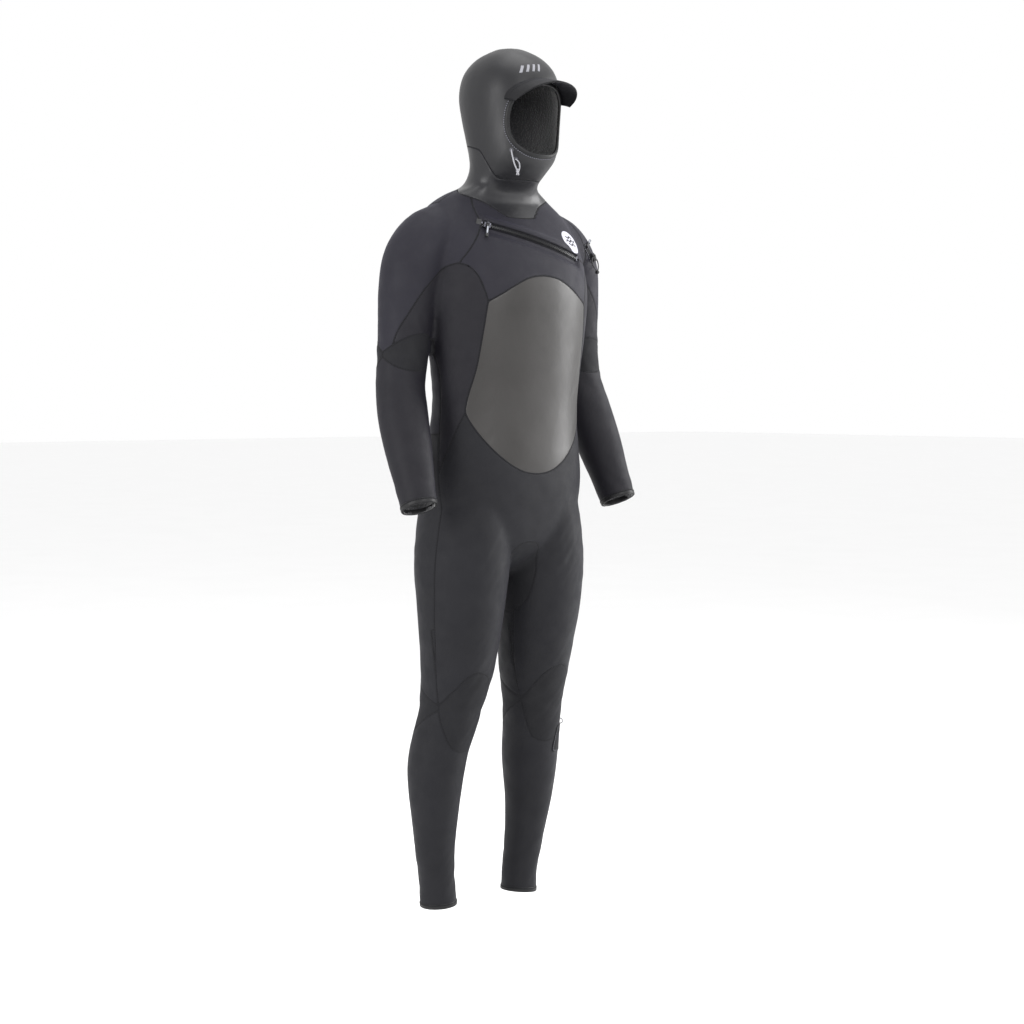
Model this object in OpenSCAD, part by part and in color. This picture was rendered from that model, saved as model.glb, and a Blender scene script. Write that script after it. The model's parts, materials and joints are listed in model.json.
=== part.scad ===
// Full hooded chest-zip wetsuit, filled out as it is when worn.
// +Z up, -Y is the wearer's front, -X the wearer's right.
// The origin is midway between the ankle hems, at their lower edge.

/* [Size] */
// Height from the ankle hems to the crown of the hood
suit_h = 1684; // [1600:4:1760]
// Chest girth over the neoprene
chest_girth = 1010; // [960:5:1060]

/* [Neoprene] */
// Thickness of the torso and hood panels
core_t = 5; // [4:0.5:6]
// Thickness of the sleeve and leg panels
limb_t = 4; // [3:0.5:5]

/* [Hood] */
// Width of the face opening
face_w = 126; // [112:2:130]
// Height of the face opening
face_h = 132; // [120:2:136]
// How far the peak stands out over the forehead
peak_reach = 62; // [45:1:75]

/* [Chest zip] */
// Angle that the zip covers round the chest
zip_travel = 48; // [40:1:50]
// Width of the zip tape
tape_w = 16; // [12:1:20]
// Length of the zip pull below its shackle
pull_l = 34; // [26:1:44]

/* [Hidden] */
base_h = 1684;
base_girth = 1010;
tall = suit_h / base_h;
wide = chest_girth / base_girth;
groove = 0.2;              // half of the groove between neighbouring panels
far = 600;                 // longer than any part of the suit is wide

// --- Body form ------------------------------------------------------------
// Trunk and head stations: height, half width, depth to front, depth to back, middle
TRUNK = [
    [666, 24, 26, 28, 6], [684, 84, 56, 66, 5], [715, 136, 84, 98, 3], [755, 160, 98, 118, 1],
    [805, 173, 106, 124, -1], [860, 175, 108, 115, -4], [930, 165, 104, 102, -8],
    [1000, 159, 104, 97, -12], [1070, 164, 110, 103, -14], [1140, 173, 118, 113, -14],
    [1210, 179, 123, 120, -12], [1265, 177, 118, 121, -6], [1310, 172, 104, 114, 1],
    [1345, 166, 84, 102, 10], [1368, 158, 70, 94, 18], [1386, 138, 60, 84, 20],
    [1403, 110, 56, 76, 15], [1420, 76, 60, 70, 2], [1444, 70, 84, 70, -14],
    [1468, 74, 104, 71, -22], [1505, 80, 106, 82, -25], [1550, 84, 106, 98, -26],
    [1595, 86, 104, 107, -26], [1635, 78, 92, 98, -26], [1664, 56, 64, 70, -25],
    [1682, 24, 28, 30, -24]
];
// Arm stations, shoulder to wrist: outward, back, height, radius across, radius front to back
ARM = [
    [92, 16, 1340, 44, 50], [152, 22, 1318, 57, 64], [189, 25, 1272, 63, 66],
    [205, 29, 1212, 58, 61], [213, 31, 1140, 51, 55], [222, 30, 1070, 48, 50],
    [229, 25, 1030, 47, 48], [237, 7, 975, 48, 49], [244, -18, 915, 45, 46],
    [250, -45, 850, 38, 40], [254, -66, 800, 33, 37], [255, -75, 779, 33, 37]
];
// Leg stations, hip to ankle: outward, back, height, radius across, radius front to back
LEG = [
    [80, 5, 860, 70, 84], [88, 5, 790, 84, 98], [96, 4, 690, 91, 98],
    [99, 4, 610, 85, 90], [98, 10, 540, 78, 82], [99, 16, 480, 71, 74],
    [104, 26, 420, 62, 66], [109, 34, 375, 58, 61], [117, 47, 325, 56, 60],
    [121, 55, 280, 55, 60], [122, 58, 235, 51, 56], [121, 60, 190, 46, 50],
    [116, 66, 120, 39, 42], [108, 70, 50, 35, 38], [104, 70, 0, 36, 38],
    [102, 70, -20, 37, 39]
];
torso_square = 2.25;       // 2 is an ellipse, and more is squarer
trunk_sides = 32;
arm_sides = 16;
leg_sides = 20;

// Catmull-Rom interpolation of a row of stations at u, in stations
function blend4(a, b, c, d, f) =
    b + f / 2 * (c - a + f * (2 * a - 5 * b + 4 * c - d + f * (3 * (b - c) + d - a)));
function station(rows, u) =
    let (n = len(rows) - 1, i = min(floor(u), n - 1), f = u - i)
    blend4(rows[max(i - 1, 0)], rows[i], rows[i + 1], rows[min(i + 2, n)], f);

function power(v, e) = sign(v) * pow(abs(v), e);
// One upright ring of the torso or head, sunk by t under the outer face
function upright_ring(s, square, sides, t) = [
    for (k = [0:sides - 1]) let (a = 360 * k / sides)
        [wide * (s[1] - t) * power(cos(a), 2 / square),
         wide * (s[4] + ((sin(a) < 0 ? s[2] : s[3]) - t) * power(sin(a), 2 / square)),
         tall * s[0]]
];
function unit(v) = v / norm(v);
function middle(s) = [wide * s[0], wide * s[1], tall * s[2]];
// One ring of a limb, square to the limb's own line
function limb_ring(rows, u, sides, t) =
    let (s = station(rows, u), n = len(rows) - 1,
         along = unit(middle(station(rows, min(u + 0.05, n))) - middle(station(rows, max(u - 0.05, 0)))),
         across = unit([1, 0, 0] - along[0] * along), back = cross(along, across))
    [for (k = [0:sides - 1]) let (a = 360 * k / sides)
        middle(s) + wide * ((s[3] - t) * cos(a) * across + (s[4] - t) * sin(a) * back)];

// A closed skin through a stack of rings that all have the same number of points
module skin(rings) {
    n = len(rings[0]);
    m = len(rings) - 1;
    sides = [for (i = [0:m - 1], k = [0:n - 1]) let (a = i * n + k, b = i * n + (k + 1) % n)
        each [[a, b, b + n], [a, b + n, a + n]]];
    faces = concat([[for (k = [n - 1:-1:0]) k]], sides, [[for (k = [0:n - 1]) m * n + k]]);
    polyhedron([for (r = rings) each r], [for (f = faces) [for (k = [len(f) - 1:-1:0]) f[k]]],
        convexity = 6);
}
// The inner face is also lower at the crown and higher at the crotch
function sink(s, t) = s + [t * (max(0, 755 - s[0]) / 89 - max(0, s[0] - 1595) / 87), 0, 0, 0, 0];
module upright(rows, square, sides, t, step) {
    n = len(rows) - 1;
    skin([for (u = [0:step:n]) upright_ring(sink(station(rows, u), t), square, sides, t)]);
}
// A limb as far as its hem, or one station past the hem for the inside of the suit
module limb(rows, side, t, past = 0) {
    end = len(rows) - 2;
    sides = rows == ARM ? arm_sides : leg_sides;
    mirror([side < 0 ? 1 : 0, 0, 0])
        skin([for (u = [0:end - past]) limb_ring(rows, u, sides, t),
            if (past > 0) limb_ring(rows, end + past, sides, t)]);
}

module trunk_form(t) { upright(TRUNK, torso_square, trunk_sides, t, 1); }

// Everything inside the suit's outer face, or inside its inner face when sunk
module body_form(core, limbs, past = 0) {
    trunk_form(core);
    for (side = [-1, 1]) {
        limb(ARM, side, limbs, past);
        limb(LEG, side, limbs, past);
    }
}
// The face opening's outline, and a solid of any outline in front of the face
module face_outline() {
    polygon([for (a = [0:12:348]) [face_w / 2 * power(cos(a), 0.78), face_h / 2 * power(sin(a), 0.86)]]);
}
module in_face() {
    scale([1, 1, tall]) translate([0, -45, 1538]) rotate([90, 0, 0]) linear_extrude(height = 140)
        children();
}
module neoprene() {
    difference() {
        body_form(0, 0);
        body_form(core_t, limb_t, 1);
        in_face() face_outline();
    }
}

// --- Panel outlines ---------------------------------------------------------
// An outline seen from the front, as across and height, kept between two depths
module front_cut(pts, g = 0, y0 = -far, y1 = far) {
    scale([wide, wide, tall]) translate([0, y1 + g, 0]) rotate([90, 0, 0])
        linear_extrude(height = y1 - y0 + 2 * g) offset(delta = g) polygon(pts);
}
// An outline seen from the side, as depth and height, kept between two distances across
module side_cut(pts, g = 0, x0 = -far, x1 = far) {
    scale([wide, wide, tall]) translate([x0 - g, 0, 0]) rotate([90, 0, 90])
        linear_extrude(height = x1 - x0 + 2 * g) offset(delta = g) polygon(pts);
}
module sided(side) { mirror([side < 0 ? 1 : 0, 0, 0]) children(); }
function mirrored(pts) = concat(pts, [for (i = [len(pts) - 1:-1:0]) [-pts[i][0], pts[i][1]]]);

// Hood above its neck seam, and hood and neck above the neckline
HOOD_LINE = [[220, 1503], [60, 1500], [0, 1492], [-29, 1484], [-45, 1455], [-56, 1428], [-220, 1424]];
NECK_LINE = [[220, 1418], [60, 1417], [20, 1410], [-10, 1399], [-28, 1390], [-43, 1375],
    [-56, 1362], [-66, 1354], [-220, 1350]];
module hood_zone(g = 0) { side_cut(concat(HOOD_LINE, [[-220, 1760], [220, 1760]]), g); }
module collar_zone(g = 0) { side_cut(concat(NECK_LINE, [[-220, 1760], [220, 1760]]), g); }

// Chest flap above the zip, chest below it, and the smooth panel in front
ZIP_LINE = [[-102, 1340.5], [150, 1272], [178, 1266]];
module flap_zone(g = 0) {
    front_cut(concat(ZIP_LINE, [[186, 1290], [176, 1330], [150, 1370], [122, 1395], [100, 1430],
        [-86, 1430], [-102, 1346]]), g, -200, 18);
}
module chest_zone(g = 0) {
    front_cut(concat(ZIP_LINE, [[160, 1262], [150, 1259], [137, 1242], [128, 1215], [120, 1186],
        [-120, 1186], [-128, 1215], [-137, 1242], [-150, 1259], [-160, 1262]]), g, -200, 18);
}
module front_zone(g = 0) {
    front_cut(mirrored([[0, 1242], [35, 1237], [70, 1221], [100, 1203], [122, 1190], [127, 1130],
        [132, 1061], [141, 1000], [142, 978], [128, 945], [112, 922], [90, 899], [60, 877],
        [30, 864], [0, 860]]), g, -200, -20);
}

// The line between arm and trunk, and everything outside it
ARMPIT = [[175, 1190], [175, 1125], [168.5, 1100], [168, 1010], [196, 860], [200, 600]];
module arm_zone(side, g = 0) {
    sided(side) front_cut(concat([[175, 1300]], ARMPIT, [[450, 600], [450, 1300]]), g);
}
// Side and underarm panel: under the arm, and down the inside of the upper sleeve
module underarm_zone(side, g = 0) {
    sided(side) intersection() {
        front_cut([[112, 1186], [128, 1215], [137, 1242], [150, 1259], [160, 1263], [170, 1258],
            [192, 1236], [216, 1209], [244, 1160], [256, 1130], [262, 1100], [262, 840], [100, 840]], g);
        union() {
            difference() {
                side_cut([[-200, 1300], [60, 1300], [30, 1150], [-8, 1060], [-9, 1000], [-11, 946],
                    [-22, 862], [-31, 891], [-49, 941], [-66, 983], [-200, 985]], g, 90, 190);
                arm_zone(1, -0.1);
            }
            intersection() {
                arm_zone(1);
                above_elbow(g);
            }
        }
    }
}
module shoulder_zone(side) {
    sided(side) {
        front_cut(concat([[450, 1450], [141, 1450], [141, 1225]], ARMPIT, [[450, 600]]), 0.1);
        front_cut([[60, 1450], [60, 1255], [300, 1255], [300, 1450]], 0, -200, 18);
    }
}

// Seams round the elbow and the knee: the sleeve or leg above, and the one below
ELBOW = [30, 1090];        // depth and height of the bending line
KNEE = [-2, 407];
module above_elbow(g = 0) {
    side_cut([[-300, 1152], [-60, 1152], [-25, 1130], [0, 1112], [30, 1094], [60, 1112], [90, 1120],
        [300, 1122], [300, 1500], [-300, 1500]], g);
}
module below_elbow(g = 0) {
    side_cut([[-300, 1034], [-60, 1034], [-25, 1056], [0, 1068], [30, 1086], [60, 1062], [90, 1046],
        [300, 1040], [300, 600], [-300, 600]], g);
}
module above_knee(g = 0) {
    side_cut([[-2, 411], [30, 428], [60, 447], [95, 464], [300, 470], [300, 1000], [-2, 1000]], g);
    for (side = [-1, 1]) sided(side)
        front_cut([[0, 411], [50, 411], [62, 445], [80, 468], [108, 477], [122, 471], [144, 442],
            [160, 411], [300, 411], [300, 1000], [0, 1000]], g, -200, 1);
}
module below_knee(g = 0) {
    side_cut([[-2, 403], [30, 384], [60, 364], [95, 343], [300, 330], [300, -60], [-2, -60]], g);
    for (side = [-1, 1]) sided(side)
        front_cut([[0, 403], [50, 403], [56, 364], [75, 331], [94, 319], [119, 318], [137, 330],
            [152, 364], [160, 403], [300, 403], [300, -60], [0, -60]], g, -200, 1);
}
module leg_zone(side, g = 0) {
    sided(side) front_cut([[1, 590], [200, 590], [200, -60], [1, -60]], g);
}

// Trousers in front of and behind the side seams, and the gusset between the legs
SIDE_SEAM = [[-2, 300], [-2, 460], [-10, 541], [-20, 639], [-24, 831], [-22, 862]];
module low_front_zone(g = 0) {
    side_cut(concat(SIDE_SEAM, [[-31, 891], [-49, 941], [-66, 983], [-200, 985], [-200, 300]]), g);
}
module low_back_zone(g = 0) {
    side_cut(concat(SIDE_SEAM, [[-12, 938], [300, 925], [300, 300]]), g);
}
module gusset_zone(g = 0) {
    front_cut(mirrored([[0, 728], [22, 724], [31, 713], [34, 690], [33, 650], [26, 605], [12, 574],
        [0, 572]]), g);
}

// The zip lies on a circle round the chest, in a plane that drops to the wearer's left
ZIP_AT = [38, 172, 1302];
zip_r = 276;
zip_from = 17 - zip_travel; // angles from straight ahead, plus to the wearer's left
zip_to = 17;
module at(p) { translate([wide * p[0], wide * p[1], tall * p[2]]) children(); }
module on_zip(a = 0) { at(ZIP_AT) rotate([0, 15.1, 0]) rotate([0, 0, a]) children(); }
// A bar round the zip's circle: an outline of outward and height, from angle a to angle b
module zip_bar(a, b, pts) {
    on_zip(a - 90) rotate_extrude(angle = b - a, $fn = 120)
        polygon([for (p = pts) [wide * zip_r + p[0], p[1]]]);
}
function bar(x0, x1, w) = [[x0, -w / 2], [x1, -w / 2], [x1, w / 2], [x0, w / 2]];
module zip_slot() { zip_bar(zip_from - 2.8, zip_to + 1.4, bar(-20, 20, tape_w + 0.5)); }

// The neoprene inside the first child, less the zones of its neighbours
module panel() {
    resize([0, 0, 0]) difference() {
        intersection() {
            neoprene();
            children(0);
        }
        if ($children > 1) children([1:$children - 1]);
    }
}

// --- Hood and neck ----------------------------------------------------------
module hood() { color("#26262b") panel() { hood_zone(); } }
module neck_panel() { color("#46464a") panel() { collar_zone(); hood_zone(groove); } }

// --- Torso ------------------------------------------------------------------
module chest_flap() {
    color("#2c2b33") panel() { flap_zone(); collar_zone(groove); zip_slot(); }
}
module chest_panel() {
    color("#2c2b33") panel() {
        chest_zone();
        flap_zone(groove);
        front_zone(groove);
        zip_slot();
    }
}
module front_panel() { color("#56534f") panel() { front_zone(); } }
module back_panel() {
    color("#2c2b33") panel() {
        union() {
            front_cut(mirrored(concat([[0, 1500], [141, 1500], [141, 1225]], ARMPIT, [[0, 600]])),
                0, 18, 200);
            front_cut([[-168, 1255], [168, 1255], [168, 900], [-168, 900]], 0, -200, 18.1);
        }
        collar_zone(groove);
        chest_zone(groove);
        front_zone(groove);
        underarm_zone(-1, groove);
        underarm_zone(1, groove);
        shoulder_zone(-1);
        shoulder_zone(1);
        low_front_zone(groove);
        low_back_zone(groove);
    }
}
module underarm(side) {
    color("#24242a") panel() {
        underarm_zone(side);
        front_zone(groove);
        chest_zone(groove);
    }
}
module underarm_r() { underarm(-1); }
module underarm_l() { underarm(1); }

// --- Sleeves ----------------------------------------------------------------
module shoulder_sleeve(side) {
    color("#2c2b33") panel() {
        intersection() { shoulder_zone(side); above_elbow(); }
        collar_zone(groove);
        flap_zone(groove);
        chest_zone(groove);
        underarm_zone(side, groove);
        zip_slot();
    }
}
module elbow_ring(side, y0, y1) {
    color("#232328") panel() {
        intersection() {
            arm_zone(side);
            side_cut([[y0, 1180], [y1, 1180], [y1, 1010], [y0, 1010]]);
        }
        above_elbow(groove);
        below_elbow(groove);
    }
}
module forearm(side) {
    color("#2a2931") panel() { intersection() { arm_zone(side); below_elbow(); } }
}
module shoulder_sleeve_r() { shoulder_sleeve(-1); }
module shoulder_sleeve_l() { shoulder_sleeve(1); }
module elbow_crook_r() { elbow_ring(-1, -200, ELBOW[0] - groove); }
module elbow_crook_l() { elbow_ring(1, -200, ELBOW[0] - groove); }
module elbow_patch_r() { elbow_ring(-1, ELBOW[0] + groove, 200); }
module elbow_patch_l() { elbow_ring(1, ELBOW[0] + groove, 200); }
module forearm_r() { forearm(-1); }
module forearm_l() { forearm(1); }

// --- Legs -------------------------------------------------------------------
module lower_front() {
    color("#27272c") panel() {
        intersection() { low_front_zone(); above_knee(); }
        front_zone(groove);
        gusset_zone(groove);
        arm_zone(-1);
        arm_zone(1);
    }
}
module lower_back() {
    color("#27272c") panel() {
        intersection() { low_back_zone(); above_knee(); }
        low_front_zone(groove);
        gusset_zone(groove);
        arm_zone(-1);
        arm_zone(1);
    }
}
module crotch_gusset() { color("#1c1c1f") panel() { gusset_zone(); } }
module knee_ring(side, y0, y1) {
    panel() {
        intersection() {
            leg_zone(side);
            side_cut([[y0, 500], [y1, 500], [y1, 300], [y0, 300]]);
        }
        above_knee(groove);
        below_knee(groove);
    }
}
module knee_pad_r() { color("#1e1e21") knee_ring(-1, -200, KNEE[0] - groove); }
module knee_pad_l() { color("#1e1e21") knee_ring(1, -200, KNEE[0] - groove); }
module knee_back_r() { color("#242428") knee_ring(-1, KNEE[0] + groove, 200); }
module knee_back_l() { color("#242428") knee_ring(1, KNEE[0] + groove, 200); }
module shin_r() { color("#232327") panel() { intersection() { leg_zone(-1); below_knee(); } } }
module shin_l() { color("#232327") panel() { intersection() { leg_zone(1); below_knee(); } } }

// --- Applied trims ----------------------------------------------------------
// A thin layer laid on the trunk or the limbs, over the area of the child
module on_trunk(t) {
    resize([0, 0, 0]) difference() {
        intersection() { trunk_form(-t); children(); }
        body_form(0, 0);
    }
}
module on_limb(rows, side, t) {
    resize([0, 0, 0]) difference() {
        intersection() {
            limb(rows, side, -t);
            children();
        }
        body_form(0, 0);
    }
}
module face_binding() {
    color("#1b1b1e") on_trunk(1.6) in_face() difference() {
        offset(delta = 8) face_outline();
        face_outline();
    }
}
module hood_print() {
    color("#8f8f95") on_trunk(0.5) for (k = [0:3]) let (x = -46 + 12.5 * k, z = 1625 + 3 * k - 0.4 * k * k)
        front_cut([[x, z], [x + 5, z], [x + 13, z + 15], [x + 8, z + 15]], 0, -200, -40);
}
module badge() {
    color("#cfcfd5") on_trunk(1) difference() {
        at([110, -81, 1313]) rotate([-34, 0, 22]) rotate([90, 0, 0])
            cylinder(h = 40, r = 26.5, center = true, $fn = 48);
        zip_slot();
    }
}
// A thin band laid round the end of a sleeve or a leg
module hem(rows, side, deep, t) {
    end = len(rows) - 2;
    color("#1a1a1d") resize([0, 0, 0]) difference() {
        intersection() {
            limb(rows, side, -t);
            mirror([side < 0 ? 1 : 0, 0, 0])
                skin([for (u = [end - deep, end - 0.01]) limb_ring(rows, u, arm_sides, -9)]);
        }
        limb(rows, side, 0);
    }
}
module wrist_hem_r() { hem(ARM, -1, 0.22, 0.9); }
module wrist_hem_l() { hem(ARM, 1, 0.22, 0.9); }
module ankle_hem_r() { hem(LEG, -1, 0.24, 0.9); }
module ankle_hem_l() { hem(LEG, 1, 0.24, 0.9); }

// --- Hood peak --------------------------------------------------------------
function peak_edge(a) = [70 * power(cos(a), 0.8), (peak_reach + 6) * power(sin(a), 0.8)];
module visor() {
    color("#19191b") resize([0, 0, 0]) difference() {
        intersection() {
            at([0, -118, 1618]) rotate([98, 0, 0]) linear_extrude(height = 130, center = true)
                polygon(concat([for (a = [8:12:172]) [71 * cos(a), -46 + 46 * sin(a)]],
                    [for (a = [172:-12:8]) [66 * cos(a), -50 + 45.5 * sin(a)]]));
            at([0, -118, 1540]) linear_extrude(height = 110)
                polygon([each [[70, 30], [-70, 30]],
                    for (a = [180:12:360]) peak_edge(a)]);
        }
        trunk_form(-0.4);
        intersection() {
            trunk_form(-3);
            in_face() offset(delta = 10.5) face_outline();
        }
    }
}

// --- Chest zip --------------------------------------------------------------
module zip_tape() {
    color("#17171a") zip_bar(zip_from, zip_to, bar(-4.4, -1.9, tape_w));
}
module zip_teeth() {
    color("#3c3c41") for (i = [0:zip_travel - 1], row = [0, 1])
        on_zip(zip_from + 0.25 + i + 0.5 * row) translate([-0.8, -wide * zip_r - 0.3, row == 0 ? -2.6 : -0.6])
            cube([1.6, 2.2, 3.2]);
}
module zip_stops() {
    color("#7b7b80") {
        zip_bar(zip_from - 0.65, zip_from - 0.05, bar(-4.4, 0.6, 9));
        zip_bar(zip_to + 0.05, zip_to + 0.65, bar(-4.4, 0.6, 9));
    }
}
module zip_garage() {
    color("#121214") difference() {
        zip_bar(zip_from - 2.7, zip_from - 0.7, bar(-4.4, 3.2, 15));
        zip_bar(zip_from - 1.9, zip_from - 0.6, bar(-1.5, 1.8, 9));
    }
}
// A post square to the chest, from the slider: outward is -Y and down is -Z
slider_at = zip_from + 1.9;
module on_slider() { on_zip(slider_at) translate([0, -wide * zip_r - 2.6, 0]) rotate([-28, 0, 0]) children(); }
module post(r, y0, y1) { translate([0, -y0, 0]) rotate([90, 0, 0]) cylinder(h = y1 - y0, r = r, $fn = 24); }
module zip_slider() {
    color("#8a8a90") {
        zip_bar(slider_at - 1.3, slider_at + 1.3,
            [[-1.5, -6], [2.4, -6], [3.6, -4.6], [3.6, 4.6], [2.4, 6], [-1.5, 6], [-1.5, 3.7],
                [1.3, 3.7], [1.3, -3.7], [-1.5, -3.7]]);
        on_slider() { post(2.3, 0, 4.2); post(1.2, 0, 7.4); post(2.3, 6.5, 7.5); }
    }
}
module eye_tab(l, w) {
    difference() {
        hull() {
            post(3.7, 4.55, 6.15);
            translate([-w / 2, -6.15, -l]) cube([w, 1.6, 1]);
        }
        post(1.55, 0, 9);
    }
}
module pull_strap() { color("#151517") on_slider() eye_tab(9, 3.4); }
module pull_tube() {
    color("#b9bac0") on_slider() translate([0, -5.35, -pull_l + 8])
        cylinder(h = pull_l - 17, r = 2.1, $fn = 24);
}
module pull_tip() {
    color("#101012") on_slider() translate([0, -5.35, -pull_l]) {
        translate([0, 0, 2]) cylinder(h = 6, r = 2.8, $fn = 24);
        cylinder(h = 2, r1 = 1.8, r2 = 2.8, $fn = 24);
    }
}

// --- Hood drawcord ----------------------------------------------------------
// A round cord: a tube of 8 sides through the points
module cord(pts, d) {
    n = len(pts) - 1;
    skin([for (i = [0:n]) let (
        along = unit(pts[min(i + 1, n)] - pts[max(i - 1, 0)]),
        across = unit(cross(along, [0.3, -0.8, 0.1])), back = cross(along, across))
        [for (k = [0:7]) pts[i] + d / 2 * (cos(45 * k) * across + sin(45 * k) * back)]]);
}

HOOD_CORD = [[-56.6, -99.9, 1479.7], [-58.4, -101.4, 1479.2], [-60.4, -104.6, 1475.5],
    [-61, -107.2, 1468.5], [-59.8, -108.7, 1460.5], [-57.5, -109.2, 1453], [-54.5, -109.5, 1446.5],
    [-51, -109.5, 1441.5], [-47.5, -109.3, 1440], [-44.8, -109, 1444], [-44, -108.9, 1450],
    [-45, -108.4, 1455.5], [-46.6, -106.6, 1459.2], [-47.7, -104.4, 1461.3], [-48.2, -102.5, 1462.8]];
module on_cheek(k) {
    at(k == 0 ? [-55, -98.5, 1480] : [-48, -100.5, 1464]) rotate([9 + 21 * k, 0, 38 * k - 50])
        children();
}
module eyelets() {
    color("#3a3a3e") for (k = [0, 1]) on_trunk(1.5) on_cheek(k) difference() {
        post(4.2, -12, 12);
        post(1.9, -13, 13);
    }
}
module hood_cord() {
    color("#c3c3c6") cord([for (p = HOOD_CORD) [wide * p[0], wide * p[1], tall * p[2]]], 2.6);
}
module cord_knot() {
    color("#c3c3c6") at([-49, -109.4, 1440]) {
        sphere(r = 3.3, $fn = 12);
        for (a = [-1, 1]) rotate([0, 18 * a, 0]) translate([0, 0, -9]) cylinder(h = 8, r = 1.2, $fn = 10);
    }
}

// --- Shoulder cord lock, at the wearer's left end of the zip ------------------
module on_lock() { at([208.5, -41.4, 1288]) rotate([-16, 0, 21.5]) children(); }
module on_tab() { at([190, -35.6, 1308]) rotate([-16, 0, 21.5]) children(); }
module lock_base() {
    color("#202024") resize([0, 0, 0]) difference() {
        union() {
            intersection() {
                limb(ARM, 1, -1.4);
                hull() { on_lock() post(10, -15, 5); on_tab() post(8, -6, 12); }
            }
            on_lock() translate([-2.5, 0, -6]) cube([5, 8, 11]);
        }
        body_form(0, 0);
        on_lock() translate([0, 0, -10]) cylinder(h = 20, r = 4.9, $fn = 32);
    }
}
module cord_lock() {
    color("#111113") on_lock() difference() {
        translate([0, 0, -7]) cylinder(h = 13, r = 5, $fn = 32);
        translate([0, 0, -5.6]) cylinder(h = 20, r = 3.6, $fn = 32);
        rotate([0, 90, 0]) cylinder(h = 20, r = 1.7, center = true, $fn = 20);
    }
}
module lock_button() {
    color("#2b2b2f") on_lock() difference() {
        union() {
            translate([0, 0, -2.8]) cylinder(h = 11.3, r = 3.2, $fn = 32);
            translate([0, 0, 8.5]) cylinder(h = 1.2, r1 = 3.2, r2 = 2.2, $fn = 32);
        }
        hull() for (z = [0, 2.6]) translate([0, 0, z]) rotate([0, 90, 0])
            cylinder(h = 20, r = 1.6, center = true, $fn = 20);
    }
}
SHOULDER_CORD = [[207.6, -50.9, 1261.6], [204.5, -49.6, 1265.5], [200.8, -48.2, 1271.5],
    [199.3, -46.6, 1278.5], [200.2, -45.2, 1284.5], [203, -43.6, 1288], [208.5, -41.4, 1288],
    [214, -39.2, 1288], [218.6, -39, 1285], [220, -40.8, 1279], [218, -44.3, 1271.5],
    [214.6, -47.6, 1265.5], [211.2, -49.7, 1261.6]];
module shoulder_cord() {
    color("#2a2a2e") cord([for (p = SHOULDER_CORD) [wide * p[0], wide * p[1], tall * p[2]]], 2.4);
}
module cord_bead() { color("#0f0f11") at([209.3, -50.6, 1259]) sphere(r = 4.2, $fn = 14); }
module tab_post() {
    color("#9a9aa0") on_tab() { post(4.4, 1.1, 4.2); post(1.2, 1.1, 7.4); post(2.3, 6.5, 7.5); }
}
module cord_tab() { color("#151517") on_tab() rotate([0, -127, 0]) eye_tab(13, 5); }
module tab_grip() {
    color("#a9aab0") on_tab() rotate([0, -127, 0]) translate([0, -5.35, -25]) difference() {
        cylinder(h = 12, r = 2.6, $fn = 24);
        translate([0, 0, -1]) cylinder(h = 8, r = 1.3, $fn = 20);
    }
}

// --- Key pocket on the wearer's left calf -------------------------------------
module on_calf() { at([150, -1, 322]) rotate([0, 0, 40]) children(); }
module key_pocket() {
    color("#202024") on_limb(LEG, 1, 1.2) on_calf() translate([-22, -30, -32]) cube([44, 60, 56]);
}
module key_loop() {
    color("#c9c9cc") resize([0, 0, 0]) difference() {
        on_calf() translate([0, -4, 30]) rotate([0, 90, 0])
            rotate_extrude($fn = 24) translate([5, 0]) circle(r = 1.1, $fn = 8);
        body_form(0, 0);
        limb(LEG, 1, -1.2);
    }
}

hood();
neck_panel();
chest_flap();
chest_panel();
front_panel();
back_panel();
underarm_r();
underarm_l();
shoulder_sleeve_r();
shoulder_sleeve_l();
elbow_crook_r();
elbow_crook_l();
elbow_patch_r();
elbow_patch_l();
forearm_r();
forearm_l();
lower_front();
lower_back();
crotch_gusset();
knee_pad_r();
knee_pad_l();
knee_back_r();
knee_back_l();
shin_r();
shin_l();
wrist_hem_r();
wrist_hem_l();
ankle_hem_r();
ankle_hem_l();
face_binding();
hood_print();
badge();
visor();
zip_tape();
zip_teeth();
zip_stops();
zip_garage();
zip_slider();
pull_strap();
pull_tube();
pull_tip();
eyelets();
hood_cord();
cord_knot();
lock_base();
cord_lock();
lock_button();
shoulder_cord();
cord_bead();
tab_post();
cord_tab();
tab_grip();
key_pocket();
key_loop();
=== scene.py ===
import json
import math

import bmesh
import bpy
import numpy as np
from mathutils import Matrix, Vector, noise
from mathutils.bvhtree import BVHTree
from mathutils.kdtree import KDTree

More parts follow.
